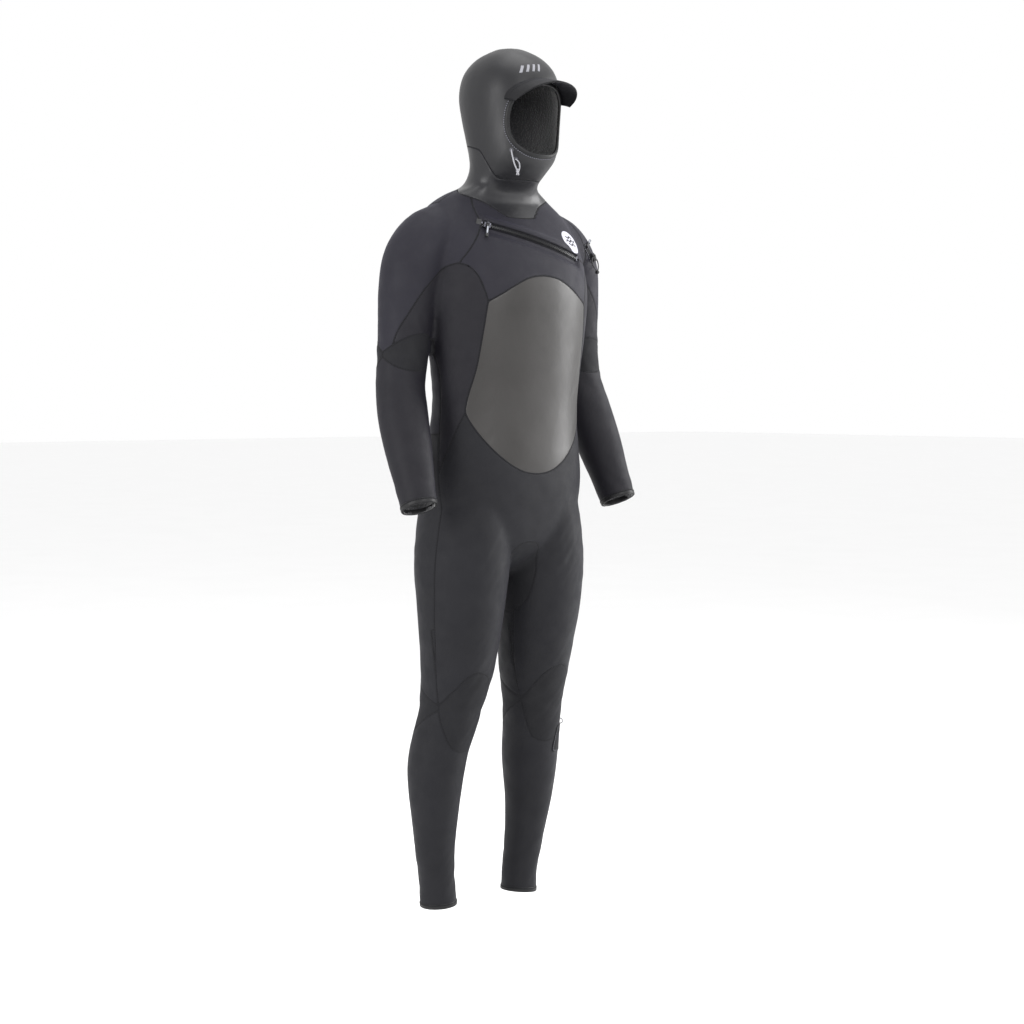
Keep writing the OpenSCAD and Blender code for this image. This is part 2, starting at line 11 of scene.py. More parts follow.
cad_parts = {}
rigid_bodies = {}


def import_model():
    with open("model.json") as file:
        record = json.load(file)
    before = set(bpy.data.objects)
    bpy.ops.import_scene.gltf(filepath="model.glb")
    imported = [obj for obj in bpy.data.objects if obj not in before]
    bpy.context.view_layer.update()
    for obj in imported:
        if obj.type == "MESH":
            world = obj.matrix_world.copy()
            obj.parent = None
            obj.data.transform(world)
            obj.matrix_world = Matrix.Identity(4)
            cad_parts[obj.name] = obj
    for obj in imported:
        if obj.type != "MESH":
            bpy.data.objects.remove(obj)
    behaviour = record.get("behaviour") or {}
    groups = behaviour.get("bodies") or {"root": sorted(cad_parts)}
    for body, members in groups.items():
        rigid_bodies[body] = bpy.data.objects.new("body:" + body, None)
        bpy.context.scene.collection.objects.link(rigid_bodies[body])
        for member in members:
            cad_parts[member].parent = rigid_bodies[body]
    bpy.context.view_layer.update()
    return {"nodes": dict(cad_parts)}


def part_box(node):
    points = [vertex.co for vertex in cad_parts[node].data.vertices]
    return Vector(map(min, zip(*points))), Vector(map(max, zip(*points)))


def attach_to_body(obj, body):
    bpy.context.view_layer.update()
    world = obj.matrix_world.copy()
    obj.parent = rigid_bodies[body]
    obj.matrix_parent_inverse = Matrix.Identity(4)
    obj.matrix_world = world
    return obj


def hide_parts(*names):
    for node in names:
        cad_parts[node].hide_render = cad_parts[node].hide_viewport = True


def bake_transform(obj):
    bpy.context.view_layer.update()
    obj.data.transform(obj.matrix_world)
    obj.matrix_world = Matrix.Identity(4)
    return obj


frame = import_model()
scene = bpy.context.scene
scene.view_settings.view_transform = "Standard"

# The record's suit is drawn 1.682 m to its crown and 172 mm across the hood; a resized one is scaled from that.
hood_lo, hood_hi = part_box("hood")
TALL = hood_hi.z / 1.682
WIDE = (hood_hi.x - hood_lo.x) / 0.172


def at(x, y, z):
    """A point given in millimetres of the standard size, in metres."""
    return Vector((x * WIDE, y * WIDE, z * TALL)) / 1000


# --- Camera -----------------------------------------------------------------
camera_data = bpy.data.cameras.new("camera")
camera_data.lens, camera_data.sensor_width = 75.87, 36
camera_data.clip_start, camera_data.clip_end = 0.1, 60
camera = bpy.data.objects.new("camera", camera_data)
camera.location = (-2.7217, -3.2773, 1.020)
camera.rotation_euler = (math.radians(86.8), 0, math.radians(-40))
scene.collection.objects.link(camera)
scene.camera = camera


# --- Node materials ---------------------------------------------------------
class Nodes:
    """A short way to write a node material."""

    def __init__(self, name):
        self.material = bpy.data.materials.new(name)
        self.material.use_nodes = True
        self.tree = self.material.node_tree
        self.shader = self.tree.nodes["Principled BSDF"]

    def add(self, kind, inputs=None, **settings):
        node = self.tree.nodes.new(kind)
        for key, value in settings.items():
            setattr(node, key, value)
        for key, value in (inputs or {}).items():
            self.put(node.inputs[key], value)
        return node

    def put(self, socket, value):
        if isinstance(value, bpy.types.NodeSocket):
            self.tree.links.new(value, socket)
        else:
            socket.default_value = value

    def set(self, **inputs):
        for key, value in inputs.items():
            self.put(self.shader.inputs[key.replace("_", " ")], value)

    def math(self, operation, a, b=0.0, c=0.0, clamp=False):
        node = self.add("ShaderNodeMath", {0: a, 1: b, 2: c}, operation=operation, use_clamp=clamp)
        return node.outputs[0]

    def noise(self, scale, vector=None, detail=2.0, rough=0.5):
        node = self.add("ShaderNodeTexNoise", {"Scale": scale, "Detail": detail, "Roughness": rough})
        self.put(node.inputs["Vector"], vector or self.place())
        return node.outputs["Fac"]

    def place(self, scale=(1, 1, 1), rotation=(0, 0, 0)):
        """Object coordinates, in metres."""
        coordinates = self.add("ShaderNodeTexCoord").outputs["Object"]
        return self.add("ShaderNodeMapping", {"Vector": coordinates, "Scale": scale, "Rotation": rotation}).outputs[0]

    def ramp(self, value, stops):
        node = self.add("ShaderNodeValToRGB", {"Fac": value})
        elements = node.color_ramp.elements
        while len(elements) < len(stops):
            elements.new(0.5)
        for element, (position, colour) in zip(elements, stops):
            element.position = position
            element.color = colour if hasattr(colour, "__len__") else (colour, colour, colour, 1)
        return node.outputs[0]

    def mix(self, factor, a, b):
        node = self.add("ShaderNodeMix", data_type="RGBA")
        self.put(node.inputs[0], factor)
        self.put(node.inputs[6], a)
        self.put(node.inputs[7], b)
        return node.outputs[2]

    def bump(self, height, strength, distance, normal=None):
        node = self.add("ShaderNodeBump", {"Height": height, "Strength": strength, "Distance": distance})
        if normal is not None:
            self.put(node.inputs["Normal"], normal)
        return node.outputs[0]


def rgb(r, g, b):
    """An sRGB colour from 0 to 255, as linear light."""
    return tuple(((c / 255 + 0.055) / 1.055) ** 2.4 if c > 10 else c / 3295 for c in (r, g, b)) + (1,)


def jersey(name, colour, sheen=0.06, rough=0.6):
    """Stretch jersey over neoprene: a fine knit, a soft sheen and slight wear."""
    n = Nodes(name)
    spot = n.noise(9, detail=3)
    base = n.mix(n.ramp(spot, [(0.3, 0.0), (0.75, 1.0)]), colour, tuple(c * 1.28 for c in colour[:3]) + (1,))
    rib = n.add("ShaderNodeTexWave", {"Vector": n.place(rotation=(0, 0, 0.6)), "Scale": 260.0, "Distortion": 1.5,
                                      "Detail": 1.0}, wave_type="BANDS", bands_direction="X")
    row = n.add("ShaderNodeTexWave", {"Vector": n.place(), "Scale": 300.0, "Distortion": 1.5, "Detail": 1.0},
                wave_type="BANDS", bands_direction="Z")
    knit = n.math("MULTIPLY", rib.outputs["Fac"], row.outputs["Fac"])
    # Painted light and shade: the raised loops of the knit are painted lighter and the rows between them darker,
    # following the bump's height.
    n.set(Base_Color=n.mix(n.math("MULTIPLY", knit, 0.35), base, tuple(c * 1.7 for c in colour[:3]) + (1,)))
    n.set(Roughness=n.ramp(n.noise(30, detail=4), [(0.3, rough - 0.06), (0.7, rough + 0.07)]))
    n.set(Sheen_Weight=sheen, Sheen_Roughness=0.4, Sheen_Tint=rgb(150, 148, 185), Specular_IOR_Level=0.2)
    soft = n.bump(n.noise(22, detail=3), 0.25, 0.004)
    n.set(Normal=n.bump(knit, 0.35, 0.0004, soft))
    return n.material


def smoothskin(name, colour, rough=0.42):
    """Smooth-skinned neoprene, embossed with a fine mesh: satin, with faint handling marks."""
    n = Nodes(name)
    grain = n.noise(420, detail=3, rough=0.6)
    marks = n.ramp(n.noise(7, detail=5, rough=0.6), [(0.35, 0.0), (0.8, 1.0)])
    base = n.mix(marks, colour, tuple(c * 1.25 for c in colour[:3]) + (1,))
    n.set(Base_Color=n.mix(n.math("MULTIPLY", grain, 0.3), base, (0.01, 0.01, 0.01, 1)))
    n.set(Roughness=n.ramp(n.noise(14, detail=5), [(0.3, rough - 0.05), (0.75, rough + 0.1)]))
    n.set(Specular_IOR_Level=0.34, Coat_Weight=0.04, Coat_Roughness=0.35, Sheen_Weight=0.02)
    soft = n.bump(n.noise(16, detail=3), 0.2, 0.004)
    n.set(Normal=n.bump(grain, 0.12, 0.0003, soft))
    return n.material


def fleece(name, colour):
    """The plush thermal lining inside."""
    n = Nodes(name)
    tufts = n.add("ShaderNodeTexVoronoi", {"Vector": n.place(), "Scale": 230.0, "Randomness": 0.8})
    height = n.ramp(tufts.outputs["Distance"], [(0.0, 1.0), (0.6, 0.0)])
    # Painted shade: the hollows between the tufts are coloured down to 0.45 of the fleece's colour, and the tuft tops
    # keep the full colour.
    n.set(Base_Color=n.mix(height, tuple(c * 0.45 for c in colour[:3]) + (1,), colour))
    n.set(Roughness=0.95, Sheen_Weight=0.6, Sheen_Roughness=0.6, Specular_IOR_Level=0.2)
    n.set(Normal=n.bump(height, 0.7, 0.0012, n.bump(n.noise(60), 0.4, 0.002)))
    return n.material


def moulded(name, colour, rough=0.4, metal=0.0, grain=900.0, rub=0.5):
    """Moulded plastic, rubber or metal with a fine grain and rubbed edges."""
    n = Nodes(name)
    wear = n.ramp(n.add("ShaderNodeNewGeometry").outputs["Pointiness"], [(0.5, 0.0), (0.6, 1.0)])
    speck = n.noise(grain, detail=3)
    base = n.mix(n.math("MULTIPLY", wear, rub), colour, tuple(min(1, c * 1.8 + 0.03) for c in colour[:3]) + (1,))
    n.set(Base_Color=n.mix(n.math("MULTIPLY", speck, 0.25), base, tuple(c * 0.6 for c in colour[:3]) + (1,)))
    n.set(Roughness=n.ramp(n.noise(grain / 4, detail=4), [(0.3, max(0.05, rough - 0.08)), (0.7, rough + 0.1)]))
    n.set(Metallic=metal, Specular_IOR_Level=0.3, Normal=n.bump(speck, 0.15, 0.0002))
    return n.material


def stitched(name, ground, thread, pitch=0.0032, across=0.5, slant=0.35):
    """A sewn strip. Its UVs run in metres along the strip and from 0 to 1 across it."""
    n = Nodes(name)
    u, v, _ = n.add("ShaderNodeSeparateXYZ", {0: n.add("ShaderNodeUVMap").outputs[0]}).outputs
    along = n.math("ADD", n.math("DIVIDE", u, pitch), n.math("MULTIPLY", v, slant))
    part = n.math("ABSOLUTE", n.math("SUBTRACT", n.math("FRACT", along), 0.5))
    stitch = n.ramp(part, [(0.2, 1.0), (0.34, 0.0)])
    side = n.ramp(n.math("ABSOLUTE", n.math("SUBTRACT", v, 0.5)), [(across * 0.7, 1.0), (across, 0.0)])
    on = n.math("MULTIPLY", stitch, side)
    fuzz = n.noise(700, detail=3)
    n.set(Base_Color=n.mix(on, ground, n.mix(n.math("MULTIPLY", fuzz, 0.5), thread,
                                              tuple(c * 0.5 for c in thread[:3]) + (1,))))
    n.set(Roughness=0.75, Sheen_Weight=0.02, Specular_IOR_Level=0.15)
    n.set(Normal=n.bump(on, 0.8, 0.0006, n.bump(fuzz, 0.2, 0.0003)))
    return n.material


def braided(name, colour, scale):
    """Round braid: crossing strands, from UVs that run round and along the cord."""
    n = Nodes(name)
    u, v, _ = n.add("ShaderNodeSeparateXYZ", {0: n.add("ShaderNodeUVMap").outputs[0]}).outputs
    strands = []
    for turn in (1, -1):
        phase = n.math("ADD", n.math("MULTIPLY", u, scale), n.math("MULTIPLY", v, 4.0 * turn))
        strands.append(n.math("ABSOLUTE", n.math("SUBTRACT", n.math("FRACT", phase), 0.5)))
    height = n.math("MAXIMUM", strands[0], strands[1])
    # Painted shade: the grooves between the strands are coloured down to 0.35 of the cord's colour, and the raised
    # strands keep the full colour.
    dark = tuple(c * 0.35 for c in colour[:3]) + (1,)
    n.set(Base_Color=n.mix(n.ramp(height, [(0.28, 0.0), (0.42, 1.0)]), dark, colour))
    n.set(Roughness=0.75, Sheen_Weight=0.2, Normal=n.bump(height, 0.7, 0.0005, n.bump(n.noise(1500), 0.2, 0.0002)))
    return n.material


MAT = {
    "body": jersey("jersey_body", rgb(23, 22, 29)),
    "lower": jersey("jersey_lower", rgb(16, 16, 20), sheen=0.03),
    "panel": jersey("jersey_panel", rgb(18, 17, 22), sheen=0.04),
    "pad": jersey("jersey_pad", rgb(17, 17, 20), sheen=0.03, rough=0.7),
    "visor": jersey("jersey_visor", rgb(16, 16, 18), sheen=0.03, rough=0.6),
    "front": smoothskin("smoothskin_front", rgb(41, 39, 38), rough=0.44),
    "hood": smoothskin("smoothskin_hood", rgb(15, 15, 19), rough=0.46),
    "neck": smoothskin("smoothskin_neck", rgb(21, 21, 25), rough=0.37),
    "lining": fleece("fleece_lining", rgb(48, 48, 53)),
    "core": moulded("neoprene_core", rgb(20, 20, 22), rough=0.85, grain=1800.0),
    "seam": stitched("seam_stitched", rgb(7, 7, 8), rgb(30, 30, 34)),
    "pale_seam": stitched("seam_pale", rgb(20, 20, 22), rgb(112, 112, 120), pitch=0.0042, across=0.42, slant=0.0),
    "tape": stitched("woven_tape", rgb(14, 14, 18), rgb(24, 24, 30), pitch=0.0011, across=0.9, slant=1.5),
    "patch": jersey("jersey_patch", rgb(14, 14, 16), sheen=0.03, rough=0.75),
    "ink": moulded("print_ink", rgb(30, 30, 36), rough=0.5, rub=0.0),
    "rubber": moulded("rubber_black", rgb(13, 13, 15), rough=0.5),
    "plastic": moulded("plastic_black", rgb(9, 9, 11), rough=0.35),
    "grey": moulded("plastic_grey", rgb(52, 52, 58), rough=0.4),
    "metal": moulded("metal_brushed", rgb(120, 122, 128), rough=0.3, metal=1.0),
    "dark_metal": moulded("metal_dark", rgb(52, 52, 58), rough=0.35, metal=0.9),
    "print": moulded("print_grey", rgb(132, 132, 138), rough=0.5, rub=0.0),
    "badge": moulded("badge_silver", rgb(188, 188, 198), rough=0.42, rub=0.0),
    "cord_light": braided("cord_light", rgb(168, 168, 174), 330.0),
    "cord_dark": braided("cord_dark", rgb(30, 30, 34), 330.0),
}

# --- Body form --------------------------------------------------------------
# Height, half width, depth to front, depth to back, middle; in millimetres
TRUNK = np.array([
    (666, 24, 26, 28, 6), (684, 84, 56, 66, 5), (715, 136, 84, 98, 3), (755, 160, 98, 118, 1),
    (805, 173, 106, 124, -1), (860, 175, 108, 115, -4), (930, 165, 104, 102, -8), (1000, 159, 104, 97, -12),
    (1070, 164, 110, 103, -14), (1140, 173, 118, 113, -14), (1210, 179, 123, 120, -12),
    (1265, 177, 118, 121, -6), (1310, 172, 104, 114, 1), (1345, 166, 84, 102, 10), (1368, 158, 70, 94, 18),
    (1386, 138, 60, 84, 20), (1403, 110, 56, 76, 15), (1420, 76, 60, 70, 2), (1444, 70, 84, 70, -14),
    (1468, 74, 104, 71, -22), (1505, 80, 106, 82, -25), (1550, 84, 106, 98, -26), (1595, 86, 104, 107, -26),
    (1635, 78, 92, 98, -26), (1664, 56, 64, 70, -25), (1682, 24, 28, 30, -24)], float)
# Outward, back, height, radius across, radius front to back
ARM = np.array([
    (92, 16, 1340, 44, 50), (152, 22, 1318, 57, 64), (189, 25, 1272, 63, 66), (205, 29, 1212, 58, 61),
    (213, 31, 1140, 51, 55), (222, 30, 1070, 48, 50), (229, 25, 1030, 47, 48), (237, 7, 975, 48, 49),
    (244, -18, 915, 45, 46), (250, -45, 850, 38, 40), (254, -66, 800, 33, 37), (255, -75, 779, 33, 37)],
    float)
LEG = np.array([
    (80, 5, 860, 70, 84), (88, 5, 790, 84, 98), (96, 4, 690, 91, 98), (99, 4, 610, 85, 90),
    (98, 10, 540, 78, 82), (99, 16, 480, 71, 74), (104, 26, 420, 62, 66), (109, 34, 375, 58, 61),
    (117, 47, 325, 56, 60), (121, 55, 280, 55, 60), (122, 58, 235, 51, 56), (121, 60, 190, 46, 50),
    (116, 66, 120, 39, 42), (108, 70, 50, 35, 38), (104, 70, 0, 36, 38), (102, 70, -20, 37, 39)], float)
SCALE = np.array([WIDE, WIDE, TALL]) / 1000
MESH_SIZE = 0.0058
FOAM = 0.0040
SEAM_STEP = 0.0025


def station(rows, u):
    n = len(rows) - 1
    i = min(int(u), n - 1)
    a, b, c, d, f = rows[max(i - 1, 0)], rows[i], rows[i + 1], rows[min(i + 2, n)], u - i
    return b + f / 2 * (c - a + f * (2 * a - 5 * b + 4 * c - d + f * (3 * (b - c) + d - a)))


def limb_ring(rows, u, sides, grow=0.0):
    """One ring of the wearer's left arm or leg, square to the limb's own line."""
    s, n = station(rows, u), len(rows) - 1
    along = (station(rows, min(u + 0.05, n)) - station(rows, max(u - 0.05, 0)))[:3] * SCALE
    along /= np.linalg.norm(along)
    across = np.array([1.0, 0, 0]) - along[0] * along
    across /= np.linalg.norm(across)
    back = np.cross(along, across)
    a = np.linspace(0, 2 * np.pi, sides, endpoint=False)[:, None]
    return s[:3] * SCALE + WIDE / 1000 * ((s[3] + grow) * np.cos(a) * across + (s[4] + grow) * np.sin(a) * back)


def trunk_ring(u, sides):
    s = station(TRUNK, u)
    a = np.linspace(0, 2 * np.pi, sides, endpoint=False)
    c, d = np.cos(a), np.sin(a)
    x = s[1] * np.sign(c) * np.abs(c) ** (2 / 2.25)
    y = s[4] + np.where(d < 0, s[2], s[3]) * np.sign(d) * np.abs(d) ** (2 / 2.25)
    return np.stack([x, y, np.full(sides, s[0])], 1) * SCALE


def fill_mesh(name, v, faces, uv=None):
    """A smooth mesh from an array of vertices and one of triangles or quads."""
    mesh = bpy.data.meshes.new(name)
    sides = [len(f) for f in faces] if isinstance(faces, list) else [faces.shape[1]] * len(faces)
    loops = np.concatenate([np.asarray(f).ravel() for f in faces]) if isinstance(faces, list) else faces.ravel()
    mesh.vertices.add(len(v))
    mesh.vertices.foreach_set("co", np.asarray(v, np.float32).ravel())
    mesh.loops.add(len(loops))
    mesh.loops.foreach_set("vertex_index", loops.astype(np.int32))
    mesh.polygons.add(len(sides))
    starts = np.concatenate([[0], np.cumsum(sides)[:-1]]).astype(np.int32)
    mesh.polygons.foreach_set("loop_start", starts)
    mesh.polygons.foreach_set("use_smooth", np.ones(len(sides), bool))
    if uv is not None:
        layer = mesh.uv_layers.new(name="strip")
        layer.data.foreach_set("uv", np.asarray(uv, np.float32)[loops].ravel())
    mesh.update(calc_edges=True)
    mesh.validate()
    o = bpy.data.objects.new(name, mesh)
    scene.collection.objects.link(o)
    return o


def cleaned(o, merge=0.0, towards=None):
    """The object with its faces turned one way, toward a given side if there is one, and doubles merged."""
    b = bmesh.new()
    b.from_mesh(o.data)
    if merge:
        bmesh.ops.remove_doubles(b, verts=b.verts, dist=merge)
    bmesh.ops.recalc_face_normals(b, faces=b.faces)
    if towards is not None and sum((f.normal @ Vector(towards) for f in b.faces), 0.0) < 0:
        bmesh.ops.reverse_faces(b, faces=b.faces)
    b.to_mesh(o.data)
    b.free()
    return o


def fitted(parts, body, node):
    """The pieces ride on a body and stand for a CAD node."""
    for o in parts:
        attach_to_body(o, body)
    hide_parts(node)


def skin(rings):
    """Vertices and faces of a closed skin through rings of equal length."""
    n, m = len(rings[0]), len(rings) - 1
    faces = [(i * n + k, (i + 1) * n + k, (i + 1) * n + (k + 1) % n, i * n + (k + 1) % n)
             for i in range(m) for k in range(n)]
    top, bottom = (m + 1) * n, (m + 1) * n + 1
    faces += [((k + 1) % n, k, bottom) for k in range(n)]
    faces += [(m * n + k, m * n + (k + 1) % n, top) for k in range(n)]
    return np.vstack([*rings, rings[-1].mean(0), rings[0].mean(0)]), faces


def body_shell():
    """The suit's outer surface as one even mesh: (vertices, triangles)."""
    verts, faces, count = [], [], 0
    parts = [skin([trunk_ring(u, 96) for u in np.arange(0, 25.01, 0.25)])]
    for side in (1, -1):
        for rows in (ARM, LEG):
            v, f = skin([limb_ring(rows, u, 72) for u in np.arange(0, len(rows) - 0.99, 0.25)])
            parts.append((v * (side, 1, 1), f if side > 0 else [q[::-1] for q in f]))
    for v, f in parts:
        verts.append(v)
        faces += [tuple(i + count for i in q) for q in f]
        count += len(v)
    o = fill_mesh("shell", np.vstack(verts), faces)
    remesh = o.modifiers.new("even", "REMESH")
    remesh.mode, remesh.voxel_size = "VOXEL", MESH_SIZE
    done = bpy.data.meshes.new_from_object(o.evaluated_get(bpy.context.evaluated_depsgraph_get()))
    bpy.data.objects.remove(o)
    v = np.zeros(len(done.vertices) * 3)
    done.vertices.foreach_get("co", v)
    v = v.reshape(-1, 3)
    e = np.zeros(len(done.edges) * 2, int)
    done.edges.foreach_get("vertices", e)
    e = e.reshape(-1, 2)
    v = relax(v, e, 26)
    done.calc_loop_triangles()
    t = np.zeros(len(done.loop_triangles) * 3, int)
    done.loop_triangles.foreach_get("vertices", t)
    return v, t.reshape(-1, 3)


def relax(v, edges, rounds, pull=0.5, push=-0.53):
    """Taubin smoothing, which keeps the volume."""
    n = len(v)
    i, j = np.concatenate([edges[:, 0], edges[:, 1]]), np.concatenate([edges[:, 1], edges[:, 0]])
    share = 1 / np.maximum(np.bincount(i, minlength=n), 1)[:, None]
    for step in range(rounds * 2):
        mean = np.stack([np.bincount(i, v[j, k], n) for k in range(3)], 1) * share
        v = v + (pull if step % 2 == 0 else push) * (mean - v)
    return v


# --- Panel outlines, in millimetres of the standard size ---------------------
def smooth(points, corner=38.0, step=4.0):
    """A closed outline through the points, curved except at its corners."""
    p, n = np.array(points, float), len(points)
    unit = lambda d: d / max(np.hypot(*d), 1e-9)
    out = []
    for i in range(n):
        a, b = p[i], p[(i + 1) % n]
        length = np.hypot(*(b - a))
        ends = []
        for k, (before, here, after) in enumerate([(p[i - 1], a, b), (a, b, p[(i + 2) % n])]):
            u, w = unit(here - before), unit(after - here)
            sharp = math.degrees(math.acos(np.clip(u @ w, -1, 1))) > corner
            ends.append(unit(b - a) if sharp else unit(u + w))
        count = max(1, min(40, int(length / step)))
        for f in np.arange(count) / count:
            out.append((2 * f ** 3 - 3 * f * f + 1) * a + (f ** 3 - 2 * f * f + f) * length * ends[0]
                       + (3 * f * f - 2 * f ** 3) * b + (f ** 3 - f * f) * length * ends[1])
    return np.array(out)


def inside(q, outline):
    """How far each 2-D point is inside a closed outline; outside is negative."""
    best, odd = np.full(len(q), 1e18), np.zeros(len(q), bool)
    for a, b in zip(outline, np.roll(outline, -1, 0)):
        d, r = b - a, q - a
        t = np.clip(r @ d / max(d @ d, 1e-12), 0, 1)
        best = np.minimum(best, ((r - t[:, None] * d) ** 2).sum(1))
        if a[1] != b[1]:
            odd ^= ((a[1] > q[:, 1]) != (b[1] > q[:, 1])) & (q[:, 0] < d[0] * (q[:, 1] - a[1]) / d[1] + a[0])
    return np.sqrt(best) * np.where(odd, 1, -1)


def mirrored(points):
    return points + [(-x, z) for x, z in reversed(points)]


def front(points, y0=-600, y1=600, side=1):
    """A zone given by its outline seen from the front, between two depths."""
    outline = smooth(points)
    return lambda p: np.minimum(inside(p[:, [0, 2]] * (side, 1), outline), np.minimum(p[:, 1] - y0, y1 - p[:, 1]))


def flank(points):
    """A zone given by its outline seen from the side."""
    outline = smooth(points)
    return lambda p: inside(p[:, [1, 2]], outline)


HOOD_LINE = [(220, 1503), (60, 1500), (0, 1492), (-29, 1484), (-45, 1455), (-56, 1428), (-220, 1424)]
NECK_LINE = [(220, 1418), (60, 1417), (20, 1410), (-10, 1399), (-28, 1390), (-43, 1375), (-56, 1362),
             (-66, 1354), (-220, 1350)]
ABOVE = [(-220, 1760), (220, 1760)]
ZIP_LINE = [(-102, 1340.5), (150, 1272), (178, 1266)]
FLAP = ZIP_LINE + [(186, 1290), (176, 1330), (150, 1370), (122, 1395), (100, 1430), (-86, 1430), (-102, 1346)]
CHEST = ZIP_LINE + [(160, 1262), (150, 1259), (137, 1242), (128, 1215), (120, 1186), (-120, 1186), (-128, 1215),
                    (-137, 1242), (-150, 1259), (-160, 1262)]
FRONT = mirrored([(0, 1242), (35, 1237), (70, 1221), (100, 1203), (122, 1190), (127, 1130), (132, 1061),
                  (141, 1000), (142, 978), (128, 945), (112, 922), (90, 899), (60, 877), (30, 864), (0, 860)])
ARMPIT = [(175, 1190), (175, 1125), (168.5, 1100), (168, 1010), (196, 860), (200, 600)]
UNDERARM = [(112, 1186), (128, 1215), (137, 1242), (150, 1259), (160, 1263), (170, 1258), (192, 1236),
            (216, 1209), (244, 1160), (256, 1130), (262, 1100), (262, 840), (100, 840)]
FLANK = [(-200, 1300), (60, 1300), (30, 1150), (-8, 1060), (-9, 1000), (-11, 946), (-22, 862), (-31, 891),
         (-49, 941), (-66, 983), (-200, 985)]
SHOULDER = [(450, 1450), (141, 1450), (141, 1225)] + ARMPIT + [(450, 600)]
ARMHOLE = [(450, 1300), (175, 1300)] + ARMPIT + [(450, 600)]
ABOVE_ELBOW = [(-300, 1152), (-60, 1152), (-25, 1130), (0, 1112), (30, 1094), (60, 1112), (90, 1120), (300, 1122),
               (300, 1500), (-300, 1500)]
BELOW_ELBOW = [(-300, 1034), (-60, 1034), (-25, 1056), (0, 1068), (30, 1086), (60, 1062), (90, 1046), (300, 1040),
               (300, 600), (-300, 600)]
KNEE_TOP = [(0, 411), (50, 411), (62, 445), (80, 468), (108, 477), (122, 471), (144, 442), (160, 411), (300, 411),
            (300, 1000), (0, 1000)]
KNEE_FOOT = [(0, 403), (50, 403), (56, 364), (75, 331), (94, 319), (119, 318), (137, 330), (152, 364), (160, 403),
             (300, 403), (300, -60), (0, -60)]
KNEE_TOP_BACK = [(-2, 411), (30, 428), (60, 447), (95, 464), (300, 470), (300, 1000), (-2, 1000)]
KNEE_FOOT_BACK = [(-2, 403), (30, 384), (60, 364), (95, 343), (300, 330), (300, -60), (-2, -60)]
SIDE_SEAM = [(-2, 300), (-2, 460), (-10, 541), (-20, 639), (-24, 831), (-22, 862)]
LOW_FRONT = SIDE_SEAM + [(-31, 891), (-49, 941), (-66, 983), (-200, 985), (-200, -60), (-2, -60)]
LOW_BACK = SIDE_SEAM + [(-12, 938), (300, 925), (300, -60), (-2, -60)]
GUSSET = mirrored([(0, 728), (22, 724), (31, 713), (34, 690), (33, 650), (26, 605), (12, 574), (0, 572)])
FACE = [(63 * math.copysign(abs(math.cos(a)) ** 0.78, math.cos(a)),
         1538 + 66 * math.copysign(abs(math.sin(a)) ** 0.86, math.sin(a))) for a in np.radians(np.arange(0, 360, 4))]


